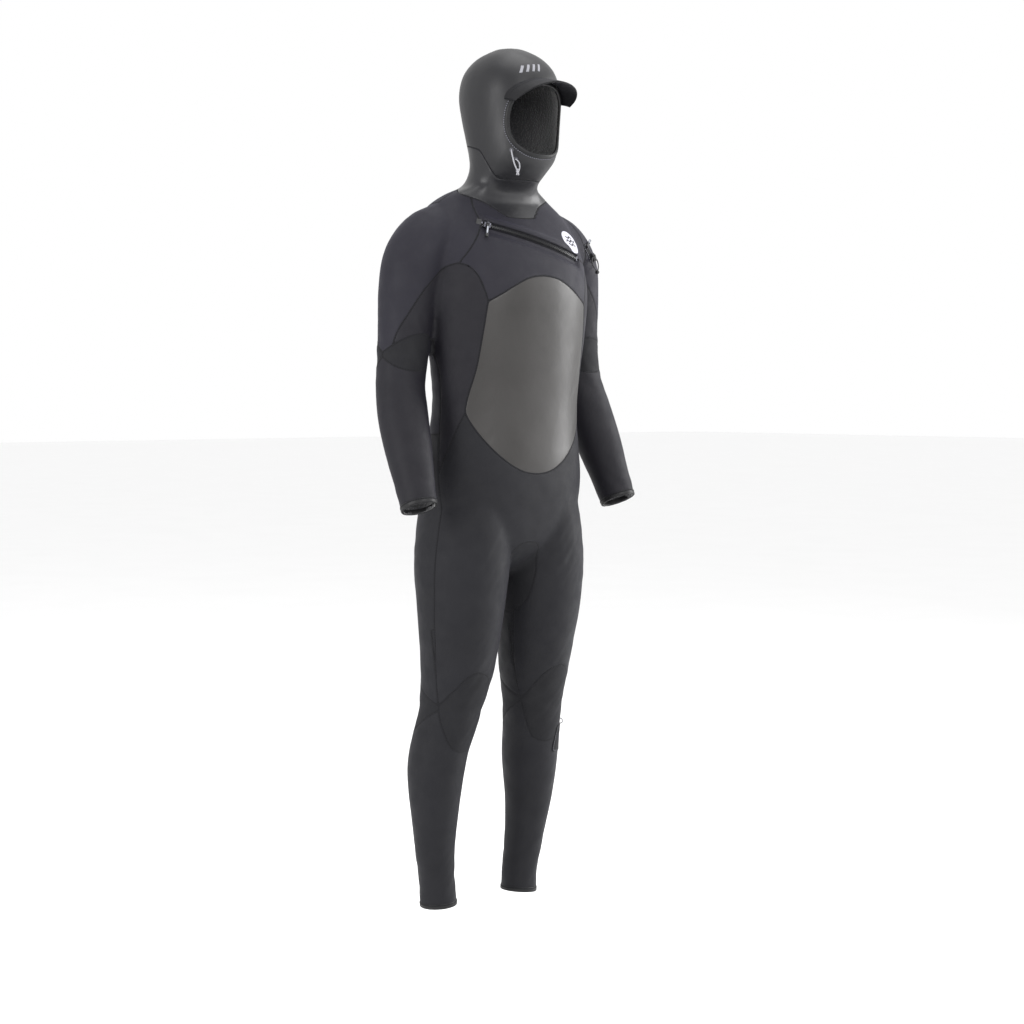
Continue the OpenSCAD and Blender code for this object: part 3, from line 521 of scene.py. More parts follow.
class Shell:
    """A triangle mesh whose faces carry panel names, cut along lines where a field is zero."""

    def __init__(self, v, t):
        self.v, self.t = v, t
        self.names = ["rest"]
        self.label = np.zeros(len(t), int)

    def number(self, name):
        if name not in self.names:
            self.names.append(name)
        return self.names.index(name)

    def cut(self, field, among=None, name=None, near=0.3):
        """Splits the faces named in among along field 0, and names what lies above it."""
        mask = np.ones(len(self.t), bool) if among is None else np.isin(self.label, [self.number(a) for a in among])
        used = np.unique(self.t[mask])
        f = np.zeros(len(self.v))
        f[used] = field(self.v[used] / SCALE) if callable(field) else field[used]
        f[np.abs(f) < near] = 0
        edges = np.sort(self.t[:, [0, 1, 1, 2, 2, 0]].reshape(-1, 3, 2), 2)
        keys = edges[:, :, 0] * len(self.v) + edges[:, :, 1]
        crossing = f[edges[:, :, 0]] * f[edges[:, :, 1]] < 0
        marked = np.unique(keys[mask][crossing[mask]])
        a, b = marked // len(self.v), marked % len(self.v)
        s = (f[a] / (f[a] - f[b]))[:, None]
        first = len(self.v)
        self.v = np.vstack([self.v, self.v[a] + s * (self.v[b] - self.v[a])])
        for extra in getattr(self, "also", []):
            value = getattr(self, extra)
            w = s if value.ndim > 1 else s[:, 0]
            setattr(self, extra, np.concatenate([value, value[a] + w * (value[b] - value[a])]))
        f = np.concatenate([f, np.zeros(len(marked))])
        at_edge = np.searchsorted(marked, keys)
        hit = (at_edge < len(marked)) & (marked[np.minimum(at_edge, len(marked) - 1)] == keys) if len(marked) \
            else np.zeros_like(keys, bool)
        mid = first + at_edge
        tris, labels, masks = [self.t[~hit.any(1)]], [self.label[~hit.any(1)]], [mask[~hit.any(1)]]
        for r in range(3):
            p, q, w = self.t[:, r], self.t[:, (r + 1) % 3], self.t[:, (r + 2) % 3]
            pq, qw, wp = mid[:, r], mid[:, (r + 1) % 3], mid[:, (r + 2) % 3]
            h = hit[:, [r, (r + 1) % 3, (r + 2) % 3]]
            one = h[:, 0] & ~h[:, 1] & ~h[:, 2]
            two = h[:, 0] & ~h[:, 1] & h[:, 2]
            cases = [(one, (p, pq, w)), (one, (pq, q, w)), (two, (p, pq, wp)), (two, (pq, q, w)), (two, (pq, w, wp))]
            if r == 0:
                three = h.all(1)
                cases += [(three, (p, pq, wp)), (three, (pq, q, qw)), (three, (wp, qw, w)), (three, (pq, qw, wp))]
            for which, corners in cases:
                tris.append(np.stack([c[which] for c in corners], 1))
                labels.append(self.label[which])
                masks.append(mask[which])
        self.t, self.label, mask = np.vstack(tris), np.concatenate(labels), np.concatenate(masks)
        if name is not None:
            self.label[mask & (f[self.t].sum(1) > 0)] = self.number(name)

    def rename(self, among, name, keep):
        chosen = np.isin(self.label, [self.number(a) for a in among]) & keep(self.v[self.t].mean(1) / SCALE)
        self.label[chosen] = self.number(name)

    def drop(self, name):
        keep = self.label != self.number(name)
        self.t, self.label = self.t[keep], self.label[keep]
        used, back = np.unique(self.t, return_inverse=True)
        self.v, self.t = self.v[used], back.reshape(-1, 3)

    def normals(self):
        a, b, c = (self.v[self.t[:, k]] for k in range(3))
        face = np.cross(b - a, c - a)
        n = np.stack([sum(np.bincount(self.t[:, k], face[:, d], len(self.v)) for k in range(3)) for d in range(3)], 1)
        return n / np.maximum(np.linalg.norm(n, axis=1), 1e-12)[:, None]


def end_plane(rows, u, side):
    """How far beyond the end of a sleeve or a leg a point is."""
    here = station(rows, u)[:3] * (side, 1, 1)
    along = (station(rows, u + 0.05) - station(rows, u - 0.05))[:3] * (side, 1, 1)
    along /= np.linalg.norm(along)
    return lambda p: np.where(np.abs(p[:, 0] - here[0]) < 60, (p - here) @ along, -50.0)


shell = Shell(*body_shell())
for side in (1, -1):
    for rows, u, top in ((ARM, 10, 900), (LEG, 14, 200)):
        plane = end_plane(rows, u, side)
        shell.cut(lambda p: np.where((p[:, 2] < top) & (p[:, 0] * side > 0), plane(p), -50.0), ["rest"], "past_end")
shell.cut(front(FACE, -185, -45), ["rest"], "opening")
shell.drop("past_end")
shell.drop("opening")
shell.cut(flank(NECK_LINE + ABOVE), ["rest"], "neck_panel")
shell.cut(flank(HOOD_LINE + ABOVE), ["neck_panel"], "hood")
shell.cut(front(FRONT, -200, -20), ["rest"], "front_panel")
shell.cut(front(FLAP, -200, 18), ["rest"], "chest_flap")
shell.cut(front(CHEST, -200, 18), ["rest"], "chest_panel")
shell.cut(front(GUSSET), ["rest"], "crotch_gusset")
for side, s in ((1, "l"), (-1, "r")):
    shell.cut(front(ARMHOLE, side=side), ["rest"], "arm_" + s)
    shell.cut(front(UNDERARM, side=side), ["rest"], "flank_" + s)
    shell.cut(flank(FLANK), ["flank_" + s], "underarm_side_" + s)
    shell.rename(["flank_" + s], "rest", lambda p: p[:, 2] > 0)
    shell.cut(flank(ABOVE_ELBOW), ["arm_" + s], "sleeve_" + s)
    shell.cut(front(UNDERARM, side=side), ["sleeve_" + s], "underarm_sleeve_" + s)
    shell.cut(flank(BELOW_ELBOW), ["arm_" + s], "forearm_" + s)
    shell.cut(lambda p: p[:, 1] - 30, ["arm_" + s], "elbow_patch_" + s)
    shell.rename(["arm_" + s], "elbow_crook_" + s, lambda p: p[:, 2] > 0)
    shell.rename(["sleeve_" + s], "shoulder_sleeve_" + s, lambda p: p[:, 2] > 0)
    shell.cut(front(SHOULDER, side=side), ["rest"], "shoulder_sleeve_" + s)
    shell.cut(front([(60, 1450), (60, 1255), (300, 1255), (300, 1450)], -200, 18, side), ["rest"],
              "shoulder_sleeve_" + s)
shell.cut(flank(LOW_FRONT), ["rest"], "lower_front")
shell.cut(flank(LOW_BACK), ["rest"], "lower_back")
shell.rename(["rest"], "back_panel", lambda p: p[:, 2] > 0)
for side, s in ((1, "l"), (-1, "r")):
    mine = lambda p: p[:, 0] * side > 0
    for part, top, foot, knee, thigh in (
            ("lower_front", front(KNEE_TOP, side=side), front(KNEE_FOOT, side=side),
             "knee_pad_" + s, "thigh_front_" + s),
            ("lower_back", flank(KNEE_TOP_BACK), flank(KNEE_FOOT_BACK), "knee_back_" + s, "thigh_back_" + s)):
        shell.cut(lambda p: np.where(mine(p) & (p[:, 2] < 560), -top(p), -50.0), [part], knee)
        shell.cut(foot, [knee], "shin_" + s)
        shell.cut(lambda p: np.where(mine(p), 540 - p[:, 2], -50.0), [part], thigh)

# Pieces that are one panel, parted only where nothing bends
PANEL = {"underarm_side_l": "underarm_l", "underarm_sleeve_l": "underarm_l", "underarm_side_r": "underarm_r",
         "underarm_sleeve_r": "underarm_r", "thigh_front_l": "lower_front", "thigh_front_r": "lower_front",
         "thigh_back_l": "lower_back", "thigh_back_r": "lower_back"}
PIECES = [n for i, n in enumerate(shell.names) if (shell.label == i).any()]


# --- Seams ------------------------------------------------------------------
def seam_edges():
    """Edges between two panels: (vertex pairs, panel pairs)."""
    group = np.array([shell.number(PANEL[n]) if n in PANEL else i for i, n in enumerate(list(shell.names))])
    which = group[shell.label]
    edges = np.sort(shell.t[:, [0, 1, 1, 2, 2, 0]].reshape(-1, 2), 1)
    key = edges[:, 0] * len(shell.v) + edges[:, 1]
    order = np.argsort(key, kind="stable")
    key, owner = key[order], np.repeat(which, 3)[order]
    same = np.flatnonzero((key[1:] == key[:-1]) & (owner[1:] != owner[:-1]))
    pairs = np.sort(np.stack([owner[same], owner[same + 1]], 1), 1)
    return np.stack([key[same] // len(shell.v), key[same] % len(shell.v)], 1), pairs


def distance_to(points, limit=0.02):
    """Each vertex's distance to the nearest of the points, in millimetres, up to a limit."""
    tree = KDTree(len(points))
    for i, p in enumerate(points):
        tree.insert(p, i)
    tree.balance()
    lo, hi = points.min(0) - limit, points.max(0) + limit
    d = np.full(len(shell.v), limit)
    for i in np.flatnonzero(((shell.v > lo) & (shell.v < hi)).all(1)):
        d[i] = min(limit, tree.find(shell.v[i])[2])
    return d * 1000


def ease(x):
    x = np.clip(x, 0, 1)
    return x * x * (3 - 2 * x)


for n in PANEL.values():
    shell.number(n)
edges, pairs = seam_edges()
f = np.linspace(0, 1, 6)[None, :, None]
dots = (shell.v[edges[:, :1]] * (1 - f) + shell.v[edges[:, 1:]] * f).reshape(-1, 3)
near_seam = distance_to(dots)
VALLEY = 2.6
shell.also = ["near_seam"]
shell.near_seam = near_seam
shell.cut(near_seam - VALLEY, near=0.35)
near_seam = shell.near_seam
edges, pairs = seam_edges()
base_normal = shell.normals()
s = np.clip(near_seam / VALLEY, 0, 1)

# Soft creases across the bends and the waist
place = shell.v / np.array((WIDE, WIDE, TALL))
arms = np.abs(place[:, 0]) > 0.19
sides = np.abs(place[:, 0]) > 0.1
crease = np.zeros(len(place))
for where, height, reach, depth in (
        (arms, 1.09, 0.07, 1.0), (arms, 0.83, 0.05, 0.6), (~arms, 0.43, 0.08, 0.9), (~arms, 0.07, 0.06, 0.7),
        (~arms, 0.70, 0.06, 0.6), (~arms & sides, 1.0, 0.09, 0.6)):
    crease += where * depth * np.exp(-((place[:, 2] - height) / reach) ** 2)
fold = np.zeros(len(place))
for i in np.flatnonzero(crease > 0.03):
    x, y, z = place[i]
    fold[i] = noise.noise(Vector((x * 11, y * 11, z * 48 + 2.5 * math.sin(x * 30)))) * crease[i]
near = ease(near_seam / 8)
shell.v = shell.v + base_normal * (0.0022 * fold * near)[:, None]
surface = shell.v - base_normal * (0.0009 * (1 - s * s * (3 - 2 * s)))[:, None]


# --- Pieces of the arms and legs, found by the words in their names -----------
BEND = {}
for s, k in (("l", 1), ("r", -1)):
    for words, body, centre, reach in ((("sleeve", "elbow", "forearm"), "forearm_", at(219 * k, 30, 1090), 0.078),
                                       (("thigh", "knee", "shin"), "shin_", at(105 * k, -2, 407), 0.1)):
        for word in words:
            BEND[word, s] = (body + s, centre + Vector((0, 0, reach)), centre - Vector((0, 0, reach)))


def attach(o, name):
    """A piece named after a limb's panel stays where it is, with its transform baked in; the others ride on the suit.
    """
    for (word, s), (body, start, end) in BEND.items():
        if word in name and name.endswith("_" + s):
            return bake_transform(o)
    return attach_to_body(o, "suit")


FINISH = {"hood": "hood", "neck_panel": "neck", "front_panel": "front", "chest_flap": "body", "chest_panel": "body",
          "back_panel": "body", "shoulder": "body", "forearm": "panel", "underarm": "panel", "elbow": "pad",
          "lower": "lower", "thigh": "lower", "knee": "pad", "shin": "lower", "crotch": "pad"}


ZIP_AT, ZIP_TILT, ZIP_R = np.array((38, 172, 1302.0)), math.radians(15.1), 276.0


def to_zip(p):
    """Degrees round the zip's circle, distance from its axis and height over its plane, in millimetres."""
    x, y, z = (p / SCALE - ZIP_AT).T
    c, k = math.cos(ZIP_TILT), math.sin(ZIP_TILT)
    across = c * x - k * z
    return np.degrees(np.arctan2(across, -y)), np.hypot(across, y), k * x + c * z


def from_zip(a, r, h):
    a = np.radians(a)
    c, k = math.cos(ZIP_TILT), math.sin(ZIP_TILT)
    x = r * np.sin(a)
    return (np.stack([c * x + k * h, -r * np.cos(a), c * h - k * x], -1) + ZIP_AT) * SCALE


def open_zip(p, side, thick):
    """Part the two lips of the chest opening beside the zip, thin them and lay them on its circle."""
    a, r, h = to_zip(p)
    on = ease((a + 31.8) / 1.2) * ease((18.6 - a) / 2)
    h = np.maximum(0, h * side)
    new = np.where(h < 18, 6.6 * on + h * (18 - 6.6 * on) / 18, h)
    pull = on * (1 - ease((new - 9) / 14))
    lip = np.where(new < 7.2, -0.5, 0.4)
    thick = thick + (0.0017 + 0.0023 * ease((new - 8.2) / 4) - thick) * pull
    return from_zip(a, r + (ZIP_R + lip - r) * pull, side * new), thick


def panel_object(name):
    """One panel as a closed piece: outer face, lining, and the cut edge of the foam between them."""
    t = shell.t[shell.label == shell.names.index(name)]
    used, back = np.unique(t, return_inverse=True)
    t = back.reshape(-1, 3)
    outer, deep = surface[used], thick[used]
    if name in ("chest_flap", "chest_panel"):
        outer, deep = open_zip(outer, 1 if name == "chest_flap" else -1, deep)
        inner = outer - base_normal[used] * deep[:, None]
    else:
        inner = shell.v[used] - base_normal[used] * deep[:, None]
    n = len(used)
    e = t[:, [0, 1, 1, 2, 2, 0]].reshape(-1, 2)
    key = np.sort(e, 1) @ np.array([n, 1])
    _, first, count = np.unique(key, return_index=True, return_counts=True)
    rim = e[first[count == 1]]
    walls = np.stack([rim[:, 1], rim[:, 0], rim[:, 0] + n, rim[:, 1] + n], 1)
    o = fill_mesh(name, np.vstack([outer, inner]), [*t, *(t[:, ::-1] + n), *walls])
    finish = next(FINISH[k] for k in FINISH if name.startswith(k))
    for m in (finish, "lining", "core"):
        o.data.materials.append(MAT[m])
    o.data.polygons.foreach_set("material_index", np.repeat([0, 1, 2], [len(t), len(t), len(walls)]).astype(np.int32))
    if name not in ("chest_flap", "chest_panel"):
        o.data.normals_split_custom_set_from_vertices(np.vstack([shown_normal[used], -shown_normal[used]]))
    attach(o, name)
    node = PANEL.get(name, name)
    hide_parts(node)
    return o


base = shell.v
shell.v = surface
shown_normal = shell.normals()
shell.v = base
thick = np.full(len(base), FOAM)
for name in PIECES:
    panel_object(name)


# --- Sewn seams ---------------------------------------------------------------
def chains(edges):
    """Edges as runs of vertices that end where runs meet."""
    links = {}
    for a, b in edges:
        links.setdefault(a, []).append(b)
        links.setdefault(b, []).append(a)
    done, runs = set(), []
    starts = [v for v in links if len(links[v]) != 2] + list(links)
    for first in starts:
        for nxt in links[first]:
            if (first, nxt) in done:
                continue
            run = [first, nxt]
            done.update({(first, nxt), (nxt, first)})
            while len(links[run[-1]]) == 2 and run[-1] != first:
                step = links[run[-1]][0] if links[run[-1]][0] != run[-2] else links[run[-1]][1]
                if (run[-1], step) in done:
                    break
                done.update({(run[-1], step), (step, run[-1])})
                run.append(step)
            runs.append(run)
    return runs


def resample(p, step, closed=False, soften=3):
    """A line through the points of p, softened and with even steps."""
    p = np.asarray(p, float)
    for _ in range(soften):
        q = p.copy()
        q[1:-1] = (p[:-2] + 2 * p[1:-1] + p[2:]) / 4
        if closed:
            q[0] = q[-1] = (p[-2] + 2 * p[0] + p[1]) / 4
        p = q
    length = np.concatenate([[0], np.cumsum(np.linalg.norm(np.diff(p[:, :3], axis=0), axis=1))])
    at_length = np.linspace(0, length[-1], max(2, int(length[-1] / step) + 1))
    return np.stack([np.interp(at_length, length, p[:, k]) for k in range(p.shape[1])], 1), at_length


def strip(name, line, normal, profile, material, along=None, closed=False):
    """A band swept along a line: profile gives pairs of sideways and outward distances."""
    n = normal / np.linalg.norm(normal, axis=1)[:, None]
    tangent = np.gradient(line, axis=0)
    if closed:
        tangent[0] = tangent[-1] = line[1] - line[-2]
    side = np.cross(n, tangent)
    side /= np.maximum(np.linalg.norm(side, axis=1), 1e-9)[:, None]
    v = np.concatenate([line + side * a / 1000 + n * b / 1000 for a, b in profile])
    rows, k = len(line), len(profile)
    uv = np.stack([np.tile(along if along is not None else np.arange(rows) * SEAM_STEP, k),
                   np.repeat(np.linspace(0, 1, k), rows)], 1)
    i, j = np.meshgrid(np.arange(k - 1), np.arange(rows - 1), indexing="ij")
    a = (i * rows + j).ravel()
    o = fill_mesh(name, v, np.stack([a, a + 1, a + rows + 1, a + rows], 1), uv)
    o.data.materials.append(MAT[material])
    return o


def joined(name, parts):
    """Several mesh objects as one."""
    if len(parts) > 1:
        with bpy.context.temp_override(active_object=parts[0], object=parts[0], selected_objects=parts,
                                       selected_editable_objects=parts):
            bpy.ops.object.join()
    parts[0].name = parts[0].data.name = name
    return parts[0]


STILL = {"hood", "neck_panel", "back_panel", "chest_flap", "chest_panel", "front_panel"}
SEWN = [(-2.2, -0.7), (-1.5, -0.2), (-0.8, 0.0), (0, -0.12), (0.8, 0.0), (1.5, -0.2), (2.2, -0.7)]
by_pair = {}
for e, (p, q) in zip(edges.tolist(), pairs.tolist()):
    by_pair.setdefault((p, q), []).append(e)
for (p, q), some in sorted(by_pair.items()):
    names = shell.names[p], shell.names[q]
    if set(names) == {"chest_flap", "chest_panel"}:
        some = [e for e in some if shell.v[e[0], 0] > 0.121 * WIDE]
    runs = [r for r in chains(some) if len(r) > 2]
    parts = []
    for run in runs:
        closed = run[0] == run[-1]
        rows, along = resample(np.hstack([shell.v[run], base_normal[run]]), SEAM_STEP, closed)
        parts.append(strip("run", rows[:, :3], rows[:, 3:], SEWN, "seam", along, closed))
    if parts:
        limb = next((n for n in names if any(w in n and n.endswith("_" + s) for w, s in BEND)), None)
        still = not STILL.isdisjoint(names)
        if limb is None and not still and set(names) <= {"lower_front", "lower_back"}:
            limb = "both"
        name = "seam_" + names[0].replace("_panel", "") + "_" + names[1].replace("_panel", "")
        o = joined(name, parts)
        if limb == "both":
            halves = [o, o.copy()]
            halves[1].data = o.data.copy()
            scene.collection.objects.link(halves[1])
            for half, s, k in zip(halves, "lr", (1, -1)):
                b = bmesh.new()
                b.from_mesh(half.data)
                bmesh.ops.delete(b, geom=[f for f in b.faces if f.calc_center_median().x * k < 0], context="FACES")
                b.to_mesh(half.data)
                b.free()
                half.name = name + "_" + s
                attach(half, "thigh_" + s)
        else:
            attach(o, name if limb is None or still else limb)

# --- Trims laid on the suit ---------------------------------------------------
laid, faces = [surface], shell.t.copy()
for side, name in ((1, "chest_flap"), (-1, "chest_panel")):
    faces[shell.label == shell.names.index(name)] += len(surface) * len(laid)
    laid.append(open_zip(surface, side, thick)[0])
tree = BVHTree.FromPolygons([tuple(p) for p in np.concatenate(laid)], [tuple(t) for t in faces.tolist()])


def onto(point, direction):
    """Where a ray from the point meets the suit, and the surface's normal there."""
    hit, normal, _, _ = tree.ray_cast(Vector(point), Vector(direction))
    return (np.array(hit), np.array(normal)) if hit else None


def rim_frames(count=140):
    """Round the face opening: a point 2 mm outside its edge, the way outward, the normal."""
    rows = []
    for a in np.linspace(0, 2 * math.pi, count, endpoint=False):
        c, d = math.cos(a), math.sin(a)
        q = np.array((63 * math.copysign(abs(c) ** 0.78, c), 66 * math.copysign(abs(d) ** 0.86, d)))
        out = q / np.array((63, 66)) ** 2
        out /= np.linalg.norm(out)
        near, far = (onto(at(*(q + out * r)[[0]], -400, 1538 + (q + out * r)[1]), (0, 1, 0)) for r in (2.5, 8))
        rows.append(np.concatenate([near[0], far[0] - near[0], near[1] + far[1]]))
    rows = np.array(rows)
    for _ in range(4):
        rows = (np.roll(rows, 1, 0) + 2 * rows + np.roll(rows, -1, 0)) / 4
    p, out, n = rows[:, :3], rows[:, 3:6], rows[:, 6:]
    return p, out / np.linalg.norm(out, axis=1)[:, None], n / np.linalg.norm(n, axis=1)[:, None]


def ring_strip(name, profile, material):
    """A closed band round the face opening: profile gives distances outward from its edge, and off the hood."""
    p, out, n = rim_frames()
    m, k = len(p), len(profile)
    v = np.concatenate([p + out * (a - 2.5) / 1000 + n * b / 1000 for a, b in profile])
    length = np.concatenate([[0], np.cumsum(np.linalg.norm(np.diff(p, axis=0), axis=1))])
    i, j = np.meshgrid(np.arange(k - 1), np.arange(m), indexing="ij")
    a, b = (i * m + j).ravel(), (i * m + (j + 1) % m).ravel()
    uv = np.stack([np.tile(length, k), np.repeat(np.linspace(0, 1, k), m)], 1)
    o = fill_mesh(name, v, np.stack([a, b, b + m, a + m], 1), uv)
    o.data.materials.append(MAT[material])
    return o


ROLL = [(1.5, -4.4), (0.2, -4.0), (-0.6, -2.6), (-0.8, -0.8), (-0.2, 0.8), (1.2, 1.7), (3.2, 2.0), (5.2, 1.9),
        (7.0, 1.4), (8.0, 0.5), (8.4, -0.6)]
binding = ring_strip("face_binding_roll", ROLL, "rubber")
stitching = ring_strip("face_binding_stitch", [(8.5, 0.0), (9.0, 0.45), (9.9, 0.45), (10.4, 0.0)], "pale_seam")
fitted([binding, stitching], "suit", "face_binding")


def band(name, rows, side, profile, material, sides=72):
    """A ring round a limb: profile gives stations along it and how far it stands off."""
    rings = [limb_ring(rows, u, sides, g) * (side, 1, 1) for u, g in profile]
    v, k = np.concatenate(rings), len(rings)
    i, j = np.meshgrid(np.arange(k - 1), np.arange(sides), indexing="ij")
    a, b = (i * sides + j).ravel(), (i * sides + (j + 1) % sides).ravel()
    faces = np.stack([a, b, b + sides, a + sides], 1)
    turn = 2 * math.pi * (rows[-2, 3] + rows[-2, 4]) / 2 / 1000 / sides
    uv = np.stack([np.tile(np.arange(sides) * turn, k), np.repeat(np.linspace(0, 1, k), sides)], 1)
    o = fill_mesh(name, v, faces if side < 0 else faces[:, ::-1], uv)
    o.data.materials.append(MAT[material])
    return o


for s, k in (("l", 1), ("r", -1)):
    for rows, end, deep, node, body in ((ARM, 10, 0.22, "wrist_hem_", "forearm_"),
                                        (LEG, 14, 0.24, "ankle_hem_", "shin_")):
        d = deep / 10
        fold = band(node + "fold_" + s, rows, k, [
            (end - deep, -0.4), (end - deep + d * 0.3, 0.6), (end - deep + d * 2, 0.9), (end - d * 3, 0.9),
            (end - d, 0.7), (end - d * 0.2, -0.1), (end, -1.2), (end - d * 0.2, -2.6), (end - d, -3.6),
            (end - d * 3, -4.2), (end - deep, -4.4)], "rubber")
        sewing = band(node + "stitch_" + s, rows, k, [
            (end - deep + d * 1.2, 0.8), (end - deep + d * 1.8, 1.15), (end - deep + d * 3.0, 1.15),
            (end - deep + d * 3.6, 0.8)], "seam")
        fitted([fold, sewing], body + s, node + s)


# --- Peak of the hood ---------------------------------------------------------
def visor(name, material):
    """The peak: an arched sheet with a rounded edge, from its root on the hood to its front edge."""
    up, ahead = Vector((0, -0.139, 0.990)), Vector((0, -0.990, -0.139))
    reach = -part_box("visor")[0].y * 1000 / WIDE - 118
    columns, rows = 61, 26
    top, bottom = [], []
    for a in np.radians(np.linspace(2.5, 177.5, columns)):
        x = 69.9 * math.cos(a)
        t = min(1.0, abs(x) / 70)
        edge = -118 - (reach - 3.5) * max(0.0, 1 - t ** (2 / 0.8)) ** 0.4
        spine = Vector((x, -118, 1618)) + up * (-46 + 44 * math.sin(a))
        there = spine + ahead * ((spine.y - edge) / 0.990)
        hit = onto(at(*(spine + ahead * 90)), -ahead)
        root = Vector(hit[0]) / Vector((WIDE, WIDE, TALL)).x * 1000 if hit else spine
        root = Vector((x, root.y + 1.5, spine.z + (spine.y - root.y - 1.5) * -0.1405))
        if there.y > root.y - 1:
            there = root + ahead
        for line, sign in ((top, 1), (bottom, -1)):
            for r in range(rows):
                f = r / (rows - 1)
                g = 1 - (1 - f) ** 1.6
                half = 1.9 * math.sqrt(max(0.0, 1 - max(0.0, (g - 0.93) / 0.07) ** 2))
                bend = max(0.0, g - 0.2) ** 2 * 5
                line.append(at(*(root + (there - root) * g + up * (sign * half) - Vector((0, 0, bend)))))
    v = np.array([tuple(p) for p in top + bottom])
    n, faces = columns * rows, []
    for c in range(columns - 1):
        for r in range(rows - 1):
            i = c * rows + r
            faces += [(i, i + 1, i + rows + 1, i + rows), (n + i, n + i + rows, n + i + rows + 1, n + i + 1)]
    for r in range(rows - 1):
        i, j = r, (columns - 1) * rows + r
        faces += [(n + i, n + i + 1, i + 1, i), (j, j + 1, n + j + 1, n + j)]
    o = cleaned(fill_mesh(name, v, np.array(faces)), 0.00005)
    o.data.materials.append(MAT[material])
    return o, v[:n].reshape(columns, rows, 3)


peak, sheet = visor("peak_sheet", "visor")
for inset, name in ((0.955, "peak_stitch_edge"), (0.2, "peak_stitch_root")):
    row = int(inset * (sheet.shape[1] - 1))
    line, along = resample(sheet[3:-3, row], SEAM_STEP, soften=1)
    normal = np.cross(np.gradient(line, axis=0), np.tile((0, -0.99, -0.139), (len(line), 1)))
    normal *= np.sign(normal[:, 2:]) + (normal[:, 2:] == 0)
    peak_stitch = strip(name, line, normal, [(-0.9, -0.2), (-0.5, 0.25), (0.5, 0.25), (0.9, -0.2)], "seam", along)
    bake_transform(peak_stitch)
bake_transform(peak)
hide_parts("visor")


# --- Prints -------------------------------------------------------------------
def decal(name, outline, lay, height, material, rings=5):
    """A thin raised print: an outline filled toward its middle and laid on the suit."""
    outline = np.array(outline, float)
    middle, v, m = outline.mean(0), [], len(outline)
    for f, h in [(1.0, -0.25)] + [(1 - 0.04 * i if i < 2 else 1 - (i - 1) / rings, height) for i in range(rings + 2)]:
        for q in middle + (outline - middle) * max(f, 0.001):
            point, normal = lay(q)
            v.append(point + normal * h / 1000)
    faces = [(r * m + i, r * m + (i + 1) % m, (r + 1) * m + (i + 1) % m, (r + 1) * m + i)
             for r in range(rings + 2) for i in range(m)]
    o = cleaned(fill_mesh(name, np.array(v), np.array(faces)), towards=lay(middle)[1])
    o.data.materials.append(MAT[material])
    return o


def print_grid(name, grid, lay, height, material):
    """A thin raised print from rows of points, with its edge turned down into the suit."""
    grid = np.pad(np.array(grid, float), ((1, 1), (1, 1), (0, 0)), mode="edge")
    rows, columns = grid.shape[:2]
    v = []
    for i in range(rows):
        for j in range(columns):
            point, normal = lay(grid[i, j])
            v.append(point + normal * (-0.25 if i in (0, rows - 1) or j in (0, columns - 1) else height) / 1000)
    i, j = np.meshgrid(np.arange(rows - 1), np.arange(columns - 1), indexing="ij")
    a = (i * columns + j).ravel()
    o = fill_mesh(name, np.array(v), np.stack([a, a + columns, a + columns + 1, a + 1], 1))
    cleaned(o, 0.00002, lay(grid[rows // 2, columns // 2])[1])
    o.data.materials.append(MAT[material])
    return o


badge_at = at(110, -81, 1313)
badge_n = np.array((0.31, -0.76, 0.57)) / np.linalg.norm((0.31, -0.76, 0.57))
badge_x = np.cross((0, 0, 1.0), badge_n) * -1
badge_x /= np.linalg.norm(badge_x)
if badge_x[0] < 0:
    badge_x = -badge_x
badge_z = np.cross(badge_n, badge_x)
badge_z *= np.sign(badge_z[2])


def on_badge(q):
    point = np.array(badge_at) + (badge_x * q[0] + badge_z * q[1]) * WIDE / 1000
    found = onto(point + badge_n * 0.05, -badge_n)
    if not found:
        return point, badge_n
    a, r, h = to_zip(found[0][None])
    if h[0] < 7.6 and a[0] < 18.6:
        return from_zip(a, np.array([ZIP_R - 0.1]), np.array([7.6]))[0], found[1]
    return found


def circle(r, x=0.0, z=0.0, count=48):
    return [(x + r * math.cos(a), z + r * math.sin(a)) for a in np.linspace(0, 2 * math.pi, count, endpoint=False)]


def wave(z, reach, width):
    """A bar shaped as one ripple of water, as rows of points across it."""
    return [[(x, z + 1.9 * math.sin(x * 0.42) + f * width / 2 * math.sqrt(max(0.02, 1 - (x / reach) ** 6)))
             for f in (-1, -0.5, 0, 0.5, 1)] for x in np.linspace(-reach, reach, 31)]


prints = [decal("badge_disc", circle(26), on_badge, 0.5, "badge", 8)]
for i, (z, reach) in enumerate([(10, 12), (1.5, 18), (-7, 14)]):
    prints.append(print_grid("badge_wave_%d" % (i + 1), wave(z, reach, 4.2), on_badge, 0.75, "ink"))
fitted(prints, "suit", "badge")


def on_brow(q):
    return onto(at(q[0], -400, q[1]), (0, 1, 0))


bars = []
for k in range(4):
    x, z = -46 + 12.5 * k, 1625 + 3 * k - 0.4 * k * k
    slanted = [[(x + 8 * f + w, z + 15 * f) for w in np.linspace(0, 5, 4)] for f in np.linspace(0, 1, 9)]
    bars.append(print_grid("brow_bar_%d" % (k + 1), slanted, on_brow, 0.35, "print"))
fitted(bars, "suit", "hood_print")


# --- Cords --------------------------------------------------------------------
def curve_through(points, step=0.0012):
    """A smooth line through points given in metres."""
    p = np.array([tuple(q) for q in points])
    out = []
    for i in range(len(p) - 1):
        a, b, c, d = p[max(i - 1, 0)], p[i], p[i + 1], p[min(i + 2, len(p) - 1)]
        for f in np.linspace(0, 1, 9)[:-1]:
            out.append(b + f / 2 * (c - a + f * (2 * a - 5 * b + 4 * c - d + f * (3 * (b - c) + d - a))))
    return resample(np.array(out + [p[-1]]), step, soften=2)[0]


